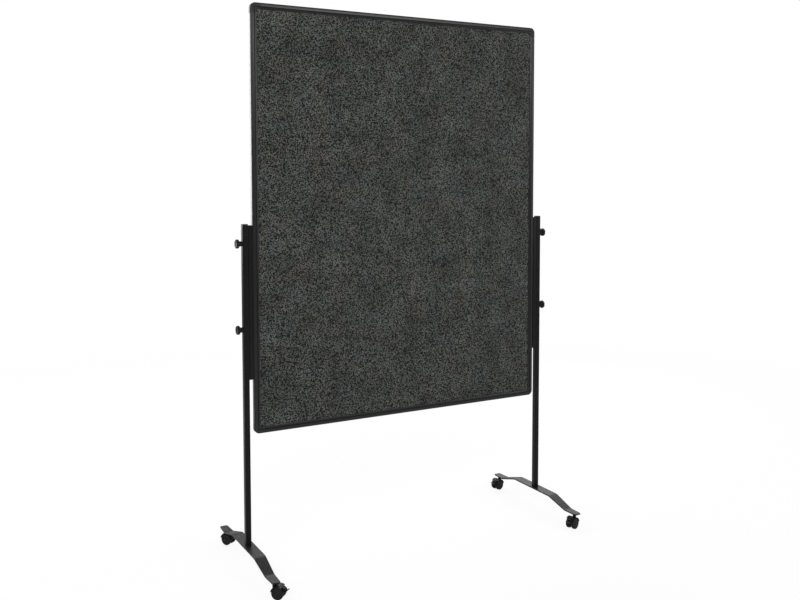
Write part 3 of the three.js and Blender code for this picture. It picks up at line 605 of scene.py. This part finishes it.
bpy.ops.mesh.primitive_plane_add(size=ARM, rotation=(math.pi / 2, 0, 0),
                                 location=(-ARM / 2, -HALF_DEPTH, -ARM / 2))
corner = bpy.context.object
settle(corner)
edit(corner)
cut_at((-FACE, 0, 0), (1, 0, 0))
cut_at((0, 0, -FACE), (0, 0, 1))
pick("FACE", lambda p, n: p.x < -FACE and p.z < -FACE)
bpy.ops.mesh.delete(type="FACE")
pick_all()
bpy.ops.mesh.dissolve_limited(angle_limit=math.radians(1))
pick("VERT", lambda p, n: near(p.x, 0) and near(p.z, 0))
bpy.ops.mesh.bevel(offset=CORNER_ROUNDING, segments=12, affect="VERTICES")
pick_all()
pull_out(y=2 * HALF_DEPTH)
outward(corner)
print("corner's outline:", len(corner.data.vertices) // 2, "points")

# %% Rounding its outer edges
edit(corner)
bpy.ops.mesh.select_mode(type="EDGE")
bpy.ops.mesh.select_all(action="DESELECT")
mesh = bmesh.from_edit_mesh(corner.data)
for edge in mesh.edges:
    lies_flat = near(edge.verts[0].co.y, edge.verts[1].co.y)
    if lies_flat and all(on_outer_edge(v.co) for v in edge.verts):
        edge.select_set(True)
bmesh.update_edit_mesh(corner.data)
bpy.ops.mesh.bevel(offset=OUTER_ROUNDING, segments=7, affect="EDGES")
print("corner once rounded:", len(bmesh.from_edit_mesh(corner.data).faces), "faces")

# %% Its lip, shadow line and groove
for depth in (LIP_STARTS, *SHADOW_LINE):
    cut_at((depth, 0, 0), (1, 0, 0))
    cut_at((0, 0, depth), (0, 0, 1))
cut_at((0, 0, 0), (1, 0, -1))
for sign in (-1, 1):
    pick("VERT", lambda p, n: near(p.y, sign * HALF_DEPTH) and on_line(p, -FACE))
    push(y=-sign * LIP_DROP)
    pick("VERT", lambda p, n: near(p.y, sign * HALF_DEPTH) and on_line(p, SHADOW_LINE[1]))
    push(y=-sign * SHADOW_DEPTH)
nothing_selected()
bpy.ops.mesh.primitive_cube_add(size=1)
panel_space = bpy.context.object
beyond = 10 * MM
reach = ARM + GROOVE_FLOOR + beyond
panel_space.scale = (reach, 2 * GROOVE_HALF, reach)
panel_space.location = (GROOVE_FLOOR - reach / 2, 0, GROOVE_FLOOR - reach / 2)
settle(panel_space)
carve(corner, panel_space)
outward(corner)
soften(corner, FINE_EDGE, angle=40)
outward(corner)

# %% Corners in place
for place, x, z, turn in (("top_right", board_high.x, top, 0),
                          ("bottom_right", board_high.x, bottom, 90),
                          ("bottom_left", board_low.x, bottom, 180),
                          ("top_left", board_low.x, top, -90)):
    moulding = copy_of(corner, f"corner_{place}_moulding",
                       Matrix.Translation((x, 0, z)) @ turned(turn))
    stand_in(moulding, "board", corner_plastic, "corner_" + place)
bpy.data.objects.remove(corner)

# %% [markdown]
# ## Posts and caps
# A post is a welded tube, so its section is a rounded square with a smaller one taken out. One
# block could be hollowed with another, but here the square is inset by the wall, the middle is
# deleted, and the ring that is left is extruded, which keeps the wall even all round. The cap
# is a block whose top edges are lowered round a slight crown.

# %% Post
POST = 20 * MM
POST_ROUNDING = 2 * MM
WALL = 1.5 * MM
SIDES = {"left": -1, "right": 1}


def post(side):
    low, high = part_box("post_" + side)
    centre = (low + high) / 2
    bpy.ops.mesh.primitive_plane_add(size=POST, location=(centre.x, centre.y, low.z))
    tube = bpy.context.object
    tube.name = f"post_{side}_tube"
    settle(tube)
    edit(tube)
    pick("VERT", lambda p, n: True)
    bpy.ops.mesh.bevel(offset=POST_ROUNDING, segments=5, affect="VERTICES")
    pick("FACE", lambda p, n: True)
    bpy.ops.mesh.inset(thickness=WALL)
    bpy.ops.mesh.delete(type="FACE")
    pick_all()
    pull_out(z=high.z - low.z)
    outward(tube)
    soften(tube, FINE_EDGE, angle=60)
    stand_in(tube, f"{side}_stand", post_paint, "post_" + side)


# %% Cap, with softened top edges and a shallow crown
CAP_GAP = 0.3 * MM
CROWN_BORDER = 1.2 * MM
CROWN = 1.0 * MM


def post_cap(side):
    low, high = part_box("post_cap_" + side)
    centre_x = (low.x + high.x) / 2
    cap_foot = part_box("post_" + side)[1].z + CAP_GAP
    height = high.z - cap_foot
    bpy.ops.mesh.primitive_cube_add(size=1)
    cap = bpy.context.object
    cap.name = f"post_cap_{side}_moulding"
    cap.scale = (POST, POST, height)
    cap.location = (centre_x, 0, cap_foot + height / 2)
    settle(cap)
    edit(cap)
    pick("EDGE", lambda p, d: abs(d.z) > 0.9)
    bpy.ops.mesh.bevel(offset=POST_ROUNDING, segments=5, affect="EDGES")
    pick("FACE", lambda p, n: n.z > 0.9)
    bpy.ops.mesh.inset(thickness=CROWN_BORDER)
    pick("VERT", lambda p, n: near(p.z, high.z)
         and max(abs(p.x - centre_x), abs(p.y)) > POST / 2 - 0.7 * MM)
    push(z=-CROWN)
    outward(cap)
    soften(cap, 0.5 * MM, segments=3, angle=20)
    stand_in(cap, f"{side}_stand", corner_plastic, "post_cap_" + side)


for side in SIDES:
    post(side)
    post_cap(side)

# %% [markdown]
# ## The bent feet
# A foot is a flat bar that a press has bent, and its side view could be drawn and extruded
# across. But it also narrows towards its ends, so it starts as a long flat strip. Cuts across
# it mark the four bends, the ends are lowered and narrowed, the bend lines are bevelled into
# curves, and the corners are rounded. Solidify gives the bar's thickness, and a fine bevel
# takes the sharpness off its cut edges. The holes for the stems stop short of the top, because
# the riveted ends are ground flush and painted.

# %% Sizes of the foot, and two helpers
foot_low, foot_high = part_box("foot_plate_right")
FOOT_HALF = (foot_high.y - foot_low.y) / 2
THICKNESS = 5 * MM
RISE = (foot_high.z - foot_low.z) - THICKNESS
UPPER_BEND = 120 * MM
UPPER_CURVE = 8 * MM
LOWER_BEND = FOOT_HALF - 64 * MM
LOWER_CURVE = 6 * MM
END_ROUNDING = 5 * MM
WIDTHS = {"middle": 42 * MM, "neck": 34 * MM, "end": 28 * MM}
STEM_REACH = 260 * MM
STEM_HOLE = 4.3 * MM
PAINT_FROM = foot_low.z + 4.75 * MM
THROUGH = 40 * MM


def round_hole(x, y, z, radius, depth):
    """A drill for carve, with its middle at this place."""
    bpy.ops.mesh.primitive_cylinder_add(vertices=40, radius=radius, depth=depth,
                                        location=(x, y, z))
    tool = bpy.context.object
    settle(tool)
    return tool


def narrowed(share):
    """Resizes what is selected across the foot."""
    bpy.ops.transform.resize(value=(share, 1, 1), center_override=(0, 0, 0))

# %% Foot
bpy.ops.mesh.primitive_plane_add(size=1)
foot = bpy.context.object
foot.scale = (WIDTHS["middle"], 2 * FOOT_HALF, 1)
foot.location = (0, 0, foot_high.z)
settle(foot)
edit(foot)
for y in (UPPER_BEND, LOWER_BEND):
    cut_at((0, y, 0), (0, 1, 0))
    cut_at((0, -y, 0), (0, 1, 0))
pick("VERT", lambda p, n: abs(p.y) > LOWER_BEND - 1 * MM)
push(z=-RISE)
narrowed(WIDTHS["neck"] / WIDTHS["middle"])
pick("VERT", lambda p, n: abs(p.y) > FOOT_HALF - 1 * MM)
narrowed(WIDTHS["end"] / WIDTHS["neck"])
for bend, curve in ((UPPER_BEND, UPPER_CURVE), (LOWER_BEND, LOWER_CURVE)):
    pick("EDGE", lambda p, d: abs(d.x) > 0.9 and near(abs(p.y), bend))
    bpy.ops.mesh.bevel(offset=curve, segments=8, affect="EDGES")
pick("VERT", lambda p, n: near(abs(p.y), FOOT_HALF))
bpy.ops.mesh.bevel(offset=END_ROUNDING, segments=6, affect="VERTICES")
pick_all()
bpy.ops.mesh.normals_make_consistent(inside=False)
nothing_selected()
if foot.data.polygons[0].normal.z < 0:
    foot.data.flip_normals()
modified(foot, "SOLIDIFY", thickness=THICKNESS, offset=-1, use_even_offset=True)
outward(foot)
soften(foot, 0.5 * MM, segments=3, angle=50)
for y in (-STEM_REACH, STEM_REACH):
    carve(foot, round_hole(0, y, PAINT_FROM - THROUGH / 2, STEM_HOLE, THROUGH))
outward(foot)
print("foot", len(foot.data.polygons), "faces")

# %% Feet in place
for side in SIDES:
    low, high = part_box("foot_plate_" + side)
    bar = copy_of(foot, f"foot_{side}_bar", Matrix.Translation(((low.x + high.x) / 2, 0, 0)))
    stand_in(bar, f"{side}_stand", foot_paint, "foot_plate_" + side)
bpy.data.objects.remove(foot)

# %% [markdown]
# ## The clamp knobs
# A moulded grip on a ribbed hub. It could be turned and its flutes cut out with cylinders, but
# that leaves sharp edges in soft plastic. So it is drawn as a chain of rings: one circle is the
# hub's foot, and it is extruded and resized from ring to ring, up the hub, out under the grip,
# round the grip's edges and into its shallow dish. The ribs and the seven flutes are made by
# resizing some vertices of a ring, and every later ring keeps them. Here X = 0 is the hub's
# foot, at the post.

# %% Sizes of the knob
HUB_FOOT = 8.5 * MM
HUB_RADIUS = 9 * MM
RIBS = 12
RIB_SHARE = 0.89
KNOB_RADIUS = 15.75 * MM
FLUTES = 7
# How much each step resizes, and the part of a flute's spacing that it takes.
FLUTE_STEPS = ((0.965, 0.33), (0.955, 0.22), (0.965, 0.12))
GRIP_STARTS = 12 * MM
GRIP_THICKNESS = 10 * MM
GRIP_ROUNDING = 2.6 * MM
# Place and radius of each ring, in millimetres.
DISH = ((0, 10.8), (-0.15, 10.3), (-0.7, 9.9), (-0.9, 9.2), (-0.9, 4.2))

# %% Drawing ring by ring


def resized(share):
    """Resizes what is selected round the knob's axis."""
    bpy.ops.transform.resize(value=(1, share, share), center_override=(0, 0, 0))


def next_ring(x, radius, last):
    """Extrudes the last ring's face to a new place and size, and returns them."""
    pull_out(x=x - last[0])
    resized(radius / last[1])
    return x, radius


def draw_in(x, share, keep):
    """Resizes those vertices of the ring at x whose angle passes the test."""
    pick("VERT", lambda p, n: near(p.x, x) and keep(math.atan2(p.z, p.y)))
    resized(share)
    pick("FACE", lambda p, n: near(p.x, x) and math.hypot(p.y, p.z) < 2 * MM)


def between_ribs(a):
    """The small turn keeps the limits off the ring's vertices."""
    return math.sin(RIBS * a + 0.4) < 0

# %% Knob
bpy.ops.mesh.primitive_circle_add(vertices=FLUTES * 12, radius=HUB_FOOT, fill_type="NGON",
                                  rotation=(0, math.pi / 2, 0))
knob = bpy.context.object
settle(knob)
edit(knob)
pick("FACE", lambda p, n: True)
draw_in(0, RIB_SHARE, between_ribs)
ring = next_ring(0.5 * MM, HUB_RADIUS, (0, HUB_FOOT))
ring = next_ring(GRIP_STARTS - 0.4 * MM, HUB_RADIUS, ring)
ring = next_ring(GRIP_STARTS, KNOB_RADIUS - GRIP_ROUNDING, ring)
draw_in(ring[0], 1 / RIB_SHARE, between_ribs)
for share, part in FLUTE_STEPS:
    draw_in(ring[0], share, lambda a: math.cos(FLUTES * a) < -math.cos(math.pi * part))
for step in range(1, 6):
    bend = math.radians(18 * step)
    ring = next_ring(GRIP_STARTS + GRIP_ROUNDING * (1 - math.cos(bend)),
                     KNOB_RADIUS - GRIP_ROUNDING * (1 - math.sin(bend)), ring)
for step in range(0, 6):
    bend = math.radians(18 * step)
    ring = next_ring(GRIP_STARTS + GRIP_THICKNESS - GRIP_ROUNDING * (1 - math.sin(bend)),
                     KNOB_RADIUS - GRIP_ROUNDING * (1 - math.cos(bend)), ring)
for x, radius in DISH:
    ring = next_ring(GRIP_STARTS + GRIP_THICKNESS + x * MM, radius * MM, ring)
outward(knob, 30)
print("knob", len(knob.data.polygons), "faces")

# %% Knobs in place
for side, way in SIDES.items():
    for level in ("lower", "upper"):
        name = f"knob_{side}_{level}"
        low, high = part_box(name)
        foot_x = low.x if way > 0 else high.x
        place = Matrix.Translation((foot_x, 0, (low.z + high.z) / 2))
        if way < 0:
            place = place @ Matrix.Rotation(math.pi, 4, "Z")
        grip = copy_of(knob, name + "_grip", place)
        stand_in(grip, name, knob_plastic, name)
bpy.data.objects.remove(knob)

# %% [markdown]
# ## The castors
# The four castors are alike, so they could be modelled in place one by one, with every point
# turned. It is simpler to model each of their pieces once, in the castor's own frame: the
# swivel axis is Z, the floor is Z = 0 and the wheels trail towards +X. Each is then copied
# four times and turned to the way its castor has come to rest.

# %% Drawing an outline and turning it
TRAIL = 16 * MM
WHEEL = 21 * MM


def outline_drawn(name, points):
    """Starts at one vertex and extrudes it from point to point, in millimetres."""
    nothing_selected()
    bpy.ops.mesh.primitive_plane_add(size=MM, location=[v * MM for v in points[0]])
    piece = bpy.context.object
    piece.name = name
    settle(piece)
    edit(piece)
    pick_all()
    bpy.ops.mesh.merge(type="CENTER")
    for before, after in zip(points, points[1:]):
        pull_out(*[(b - a) * MM for a, b in zip(before, after)])
    return piece


def turned_piece(name, outline, axis="Y", steps=64):
    """Spins an outline of (radius, height) points round an axis into a closed piece."""
    if axis == "Y":
        points, line = [(r, h, 0) for r, h in outline], (0, 1, 0)
    else:
        points, line = [(r, 0, h) for r, h in outline], (0, 0, 1)
    piece = outline_drawn(name, points)
    pick_all()
    bpy.ops.mesh.spin(steps=steps, angle=2 * math.pi, center=(0, 0, 0), axis=line)
    outward(piece, 30)
    return piece

# %% Curved bars


def arc_bar(name, inner, outer, width, start, end, steps=24):
    """A flat bar curved round the wheel's axle, between two angles in degrees."""
    nothing_selected()
    bpy.ops.mesh.primitive_plane_add(size=1, location=((inner + outer) / 2, 0, 0))
    piece = bpy.context.object
    piece.name = name
    piece.scale = (outer - inner, width, 1)
    settle(piece)
    piece.data.transform(turned(-start))
    edit(piece)
    pick_all()
    bpy.ops.mesh.spin(steps=steps, angle=math.radians(end - start), center=(0, 0, 0),
                      axis=(0, 1, 0))
    outward(piece, 30)
    return piece


def at_axle(piece):
    """Moves a piece that was made round the origin to the wheel's axle."""
    piece.data.transform(Matrix.Translation((TRAIL, 0, WHEEL)))
    return piece

# %% [markdown]
# ## The wheel
# A wheel is turned, so its half section is drawn once and spun round the axle: a rounded
# tread, a raised rim with a fine groove inside it, a dished disc and a hub whose cap covers
# the axle. Spinning gives perfectly round edges, which a bevelled cylinder wouldn't. The points
# are radius and distance from the castor's middle plane.

# %% Wheel
BORE = [(0, 17.62), (2.8, 17.62), (2.8, 6.5), (18.6, 6.5)]
TREAD = [(19.6, 6.7), (20.4, 7.2), (20.85, 8.0), (21.0, 9.2), (21.0, 15.0), (20.85, 16.2),
         (20.4, 17.0), (19.6, 17.5)]
RIM = [(18.9, 17.7), (18.3, 17.6), (18.0, 17.2), (17.7, 17.0), (17.4, 17.5), (16.9, 17.65),
       (16.2, 17.4)]
DISC = [(15.2, 16.6), (13.6, 16.2), (9.2, 16.15), (8.2, 16.4)]
HUB_CAP = [(7.4, 17.0), (6.8, 17.3), (5.2, 17.35), (4.9, 17.5), (4.4, 17.9), (3.6, 18.05),
           (0, 18.1)]
wheel = turned_piece("wheel", BORE + TREAD + RIM + DISC + HUB_CAP)
at_axle(wheel)
print("wheel", len(wheel.data.polygons), "faces")

# %% [markdown]
# ## The castor's housing
# One moulding joins four forms: a fender curved over both treads, a web between the wheels, a
# boss for the axle and a rounded neck round the stem. It could be pulled out of one block, but
# each form has its own soft edges. So each is made by itself, and they are then joined, as the
# mould's cavity was once cut form by form.

# %% Bars and blocks of the housing


def upright_block(length, width, low, high, rounding):
    """A block along Z with rounded upright edges, centred on the swivel axis."""
    nothing_selected()
    bpy.ops.mesh.primitive_cube_add(size=1, location=(0, 0, (low + high) / 2))
    block = bpy.context.object
    block.scale = (length, width, high - low)
    settle(block)
    edit(block)
    pick("EDGE", lambda p, d: abs(d.z) > 0.9)
    bpy.ops.mesh.bevel(offset=rounding, segments=8, affect="EDGES")
    pick("EDGE", lambda p, d: abs(d.z) < 0.1 and near(p.z, high))
    bpy.ops.mesh.bevel(offset=0.8 * MM, segments=3, affect="EDGES")
    outward(block)
    return block


def cross_bar(radius, width, x=0.0, z=0.0, edge=0.5 * MM, sides=48):
    """A round bar along Y with softened rims."""
    nothing_selected()
    bpy.ops.mesh.primitive_cylinder_add(vertices=sides, radius=radius, depth=width,
                                        rotation=(math.pi / 2, 0, 0), location=(x, 0, z))
    rod = bpy.context.object
    settle(rod)
    edit(rod)
    pick("EDGE", lambda p, d: near(abs(p.y), width / 2))
    bpy.ops.mesh.bevel(offset=edge, segments=3, affect="EDGES")
    outward(rod)
    return rod


# %% Sizes of the housing
PIVOT_RADIUS = 24.5 * MM
PIVOT_ANGLE = 40
FENDER = {"inner": 22.3 * MM, "outer": 24.3 * MM, "width": 37 * MM, "start": 54, "end": 172}
WEB = {"inner": 0.5 * MM, "outer": 23.4 * MM, "width": 11.4 * MM,
       "start": PIVOT_ANGLE, "end": 170}
AXLE_BOSS = (9 * MM, 12 * MM)
AXLE_HOLE = 2.8 * MM
EYE_RADIUS = 2.9 * MM
EYE_WIDTH = 12.2 * MM
PIN = (1.3 * MM, 18 * MM)
PIN_EDGE = 0.25 * MM
EYE_EDGE = 0.3 * MM
NECK = (13.5 * MM, 12.5 * MM)
NECK_FOOT = 26.7 * MM
NECK_TOP = 51.0 * MM
COLLAR = (15 * MM, 14 * MM)
SOCKET_FLOOR = 28.7 * MM

pivot_x = PIVOT_RADIUS * math.cos(math.radians(PIVOT_ANGLE))
pivot_z = PIVOT_RADIUS * math.sin(math.radians(PIVOT_ANGLE))

# %% Housing
housing = arc_bar("housing", **FENDER, steps=40)
soften(housing, 0.7 * MM, segments=3, angle=50)
carve(housing, arc_bar("web", **WEB, steps=36), "UNION")
carve(housing, cross_bar(*AXLE_BOSS), "UNION")
carve(housing, cross_bar(EYE_RADIUS, EYE_WIDTH, pivot_x, pivot_z, EYE_EDGE), "UNION")
carve(housing, cross_bar(*PIN, pivot_x, pivot_z, PIN_EDGE, 24), "UNION")
at_axle(housing)
carve(housing, upright_block(*NECK, NECK_FOOT, NECK_TOP - 1 * MM, 5.6 * MM), "UNION")
carve(housing, upright_block(*COLLAR, NECK_TOP - 4 * MM, NECK_TOP, 6.6 * MM), "UNION")
carve(housing, round_hole(0, 0, NECK_TOP, STEM_HOLE, 2 * (NECK_TOP - SOCKET_FLOOR)))
carve(housing, cross_bar(AXLE_HOLE, THROUGH, TRAIL, WHEEL))
outward(housing)
print("housing", len(housing.data.polygons), "faces")

# %% [markdown]
# ## The brake lever
# Two cheeks hang on the housing's pins and carry a curved plate over the treads. A tongue for
# the toe stands up from the plate's end, with small ribs so that a shoe doesn't slip. Its
# outline could be bent out of one sheet, but the real lever is moulded like the housing, and
# it is made in the same way from bars that are joined.

# %% Sizes of the brake lever
PLATE = {"inner": 23.4 * MM, "outer": 25.6 * MM, "width": 27 * MM, "start": 8, "end": 32}
CHEEK = {"inner": 23.7 * MM, "outer": 25.3 * MM, "width": 2.5 * MM,
         "start": PLATE["end"] - 3.5, "end": PIVOT_ANGLE}
CHEEK_PLACE = 7.75 * MM
TONGUE = (14.2 * MM, 20 * MM, 2.2 * MM)
TONGUE_RISE = 38
TONGUE_ROOT = math.radians(PLATE["start"] + 3.5)
RIB = (1 * MM, 14 * MM, 1.0 * MM)
RIB_PLACES = (5 * MM, 7.5 * MM, 10 * MM)
PIN_HOLE = 1.6 * MM

# %% Plate and cheeks
lever = arc_bar("lever", **PLATE, steps=12)
soften(lever, 0.6 * MM, segments=3, angle=50)
for side in (-1, 1):
    cheek = arc_bar("cheek", **CHEEK, steps=6)
    eye = cross_bar(EYE_RADIUS, CHEEK["width"], pivot_x, pivot_z, EYE_EDGE)
    for part in (cheek, eye):
        part.data.transform(Matrix.Translation((0, side * CHEEK_PLACE, 0)))
        carve(lever, part, "UNION")

# %% Tongue


def small_block(size, x, z):
    """A block in edit mode, with its middle at this place."""
    nothing_selected()
    bpy.ops.mesh.primitive_cube_add(size=1, location=(x, 0, z))
    block = bpy.context.object
    block.scale = size
    settle(block)
    edit(block)
    return block


tongue = small_block(TONGUE, TONGUE[0] / 2, 0)
pick("EDGE", lambda p, d: abs(d.z) > 0.9 and p.x > 10 * MM)
bpy.ops.mesh.bevel(offset=4 * MM, segments=6, affect="EDGES")
outward(tongue)
soften(tongue, 0.7 * MM, segments=3, angle=50)
for x in RIB_PLACES:
    rib = small_block(RIB, x, TONGUE[2] / 2)
    pick("EDGE", lambda p, d: p.z > 1.2 * MM)
    bpy.ops.mesh.bevel(offset=0.3 * MM, segments=2, affect="EDGES")
    outward(rib)
    carve(tongue, rib, "UNION")
tongue.data.transform(
    Matrix.Translation((PIVOT_RADIUS * math.cos(TONGUE_ROOT), 0,
                        PIVOT_RADIUS * math.sin(TONGUE_ROOT)))
    @ turned(-TONGUE_RISE))
carve(lever, tongue, "UNION")
carve(lever, cross_bar(PIN_HOLE, THROUGH, pivot_x, pivot_z, EYE_EDGE, 24))
at_axle(lever)
outward(lever)
print("lever", len(lever.data.polygons), "faces")

# %% [markdown]
# ## The stem
# The stem is turned steel: a plain shank in the housing, a flange that bears on the foot's
# underside, and an end that is riveted over in the foot's hole. Three cylinders could be
# stacked, but one spun outline has no joints and no hidden faces. The points are radius and
# height above the floor.

# %% Stem
SHANK = [(0, 29), (3.0, 29), (4, 30), (4, 51.3)]
FLANGE = [(7.1, 51.3), (7.5, 51.7), (7.5, 53.3), (7.1, 53.7)]
RIVET = [(4, 53.7), (4, 58.2), (3.5, 58.7), (0, 58.7)]
stem = turned_piece("stem", SHANK + FLANGE + RIVET, "Z", 48)
print("stem", len(stem.data.polygons), "faces")

# %% [markdown]
# ## Setting out the four castors
# Every castor has swivelled to another direction. The four angles could be typed in, but they
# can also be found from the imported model: the axle lies behind the swivel axis, so the line
# from stem to axle gives the turn, and it stays right if that model changes. The second wheel
# is the first one, turned half round along the castor's own X axis.

# %% Castors in place
HALF_TURN = (Matrix.Translation((TRAIL, 0, WHEEL)) @ Matrix.Rotation(math.pi, 4, "X")
             @ Matrix.Translation((-TRAIL, 0, -WHEEL)))


def middle_of(node):
    """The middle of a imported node's box."""
    low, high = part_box(node)
    return (low + high) / 2


def castor(side, end):
    """Copies the five models, turned as this castor is."""
    name = f"castor_{side}_{end}"
    swivel, axle = middle_of(name + "_stem"), middle_of(name + "_axle")
    turn = math.atan2(axle.y - swivel.y, axle.x - swivel.x)
    place = Matrix.Translation((swivel.x, swivel.y, 0)) @ Matrix.Rotation(turn, 4, "Z")
    parts = (("housing", housing, name, castor_plastic, place),
             ("brake_lever", lever, name + "_brake_lever", castor_plastic, place),
             ("wheel_a", wheel, name + "_wheel_a", tread_plastic, place),
             ("wheel_b", wheel, name + "_wheel_b", tread_plastic, place @ HALF_TURN),
             ("stem", stem, f"{side}_stand", black_zinc, place))
    for part, model, body, finish, part_place in parts:
        made = copy_of(model, f"{name}_{part}_moulding", part_place)
        stand_in(made, body, finish, f"{name}_{part}")
    print(name, "turned by", round(math.degrees(turn), 1), "degrees")


for side in SIDES:
    for end in ("front", "rear"):
        castor(side, end)
for model in (wheel, housing, lever, stem):
    bpy.data.objects.remove(model)

# %% [markdown]
# ## The carried-over nodes
# The softboard, the slotted rails, the screws, bolts and axles and the plugs in the posts
# already have the right shape. They could be modelled again, but most of them are hidden, so
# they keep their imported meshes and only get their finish.

# %% Finishes of the carried-over nodes


def dress(node, finish):
    """A loaded piece keeps its shape and gets a finish."""
    node_object = frame["nodes"][node]
    node_object.data.materials.clear()
    node_object.data.materials.append(finish)


dress("board_core", softboard)
for side in SIDES:
    dress("rail_" + side, rail_aluminium)
    dress("base_plug_" + side, zinc)
    dress("foot_screw_" + side, zinc)
    for level in ("lower", "upper"):
        dress(f"rail_screw_{side}_{level}", zinc)
        dress(f"rail_bolt_{side}_{level}", zinc)
    for end in ("front", "rear"):
        dress(f"castor_{side}_{end}_axle", zinc)
print("zinc on", zinc.users, "of the carried-over nodes")

# %% [markdown]
# ## Floor and background
# The object stands on a plain pale floor. A curved backdrop could join it to a wall, but in
# the photograph everything round the object is white. So the camera sees a white sky, while
# the light that falls on the object comes from the lamps and from a dimmer sky. The floor is
# partly its own white, so that only a faint shadow is left on it, and wholly so far away.

# %% Floor
OWN_WHITE_NEAR, OWN_WHITE_FAR = 0.88, 1.0
FADE_FROM, FADE_TO = 1.0, 4.5

nothing_selected()
bpy.ops.mesh.primitive_plane_add(size=60, location=(0, 0, 0))
floor = bpy.context.object
floor.name = "floor"
paint = finish_named("pale_floor", "core", 0.9, specular=0.0)
apply_to(paint, shades(paint, noise(paint, place_of(paint), 3.0), grey(0.8), grey(0.82)))
tree = paint.node_tree
own_white = wire(paint, "Emission", {"Color": grey(1.0), "Strength": 1.0})
rays = wire(paint, "LightPath")
away = wire(paint, "VectorMath", {0: place_of(paint)}, operation="LENGTH").outputs["Value"]
share = between(paint, away, FADE_FROM, FADE_TO, OWN_WHITE_NEAR, OWN_WHITE_FAR)
seen = wire(paint, "Math", {0: rays.outputs["Is Camera Ray"], 1: share}, operation="MULTIPLY")
mixed = wire(paint, "MixShader", {0: seen.outputs[0],
                                  1: tree.nodes["Principled BSDF"].outputs[0],
                                  2: own_white.outputs[0]})
tree.links.new(mixed.outputs[0], tree.nodes["Material Output"].inputs["Surface"])
floor.data.materials.append(paint)
print("floor wholly white from", FADE_TO, "m")

# %% Surroundings
SKY = 0.32

world = bpy.data.worlds.new("studio")
bpy.context.scene.world = world
world.use_nodes = True
tree = world.node_tree
background = tree.nodes["Background"]
background.inputs["Color"].default_value = grey(1.0)
rays = wire(world, "LightPath")
seen = wire(world, "Math", {0: rays.outputs["Is Camera Ray"],
                            1: rays.outputs["Is Transmission Ray"]}, operation="MAXIMUM")
strength = between(world, seen.outputs[0], 0.0, 1.0, SKY, 1.0)
tree.links.new(strength, background.inputs["Strength"])
print("sky at", SKY, "for the object and 1 for the camera")

# %% [markdown]
# ## Lamps
# One picture of a real studio could light it all, but it would have to be loaded. Soft lamps
# stand around the object instead, as in a photographer's studio: a broad one at the upper
# left, a low strip whose reflection runs along the frame's upper parts, and a weak one at the
# right. Behind stand one that lights the back, an upright one that gives the left sides their
# bright edge, and two small ones whose reflections lie on the right foot.

# %% Lamps


def soft_lamp(name, place, target, size, watts):
    """A rectangular lamp that faces its target."""
    bpy.ops.object.light_add(type="AREA", location=place)
    lamp = bpy.context.object
    lamp.name = name
    lamp.data.shape = "RECTANGLE"
    lamp.data.size, lamp.data.size_y = size
    lamp.data.energy = watts
    lamp.rotation_euler = (Vector(target) - Vector(place)).to_track_quat("-Z", "Y").to_euler()


soft_lamp("key_lamp", (-3.2, -4.2, 3.4), (0, 0, 1.1), (3.0, 2.0), 200)
soft_lamp("fill_lamp", (1.1, -3.1, 2.45), (-0.2, 0, 1.3), (1.7, 0.7), 32)
soft_lamp("right_lamp", (3.6, -3.0, 2.0), (0, 0, 0.9), (2.5, 2.0), 40)
soft_lamp("back_lamp", (0.5, 4.2, 3.2), (0, 0, 1.1), (3.5, 1.5), 90)
soft_lamp("edge_lamp", (-1.8, 3.2, 2.1), (-0.6, 0, 1.5), (1.3, 2.4), 75)
soft_lamp("foot_lamp", (2.3, 2.3, 1.05), (0.62, 0, 0.1), (1.4, 0.9), 12)
soft_lamp("slope_lamp", (2.36, 1.41, 2.2), (0.63, -0.2, 0.08), (1.4, 0.9), 20)
print("lamps:", len(bpy.data.lights))
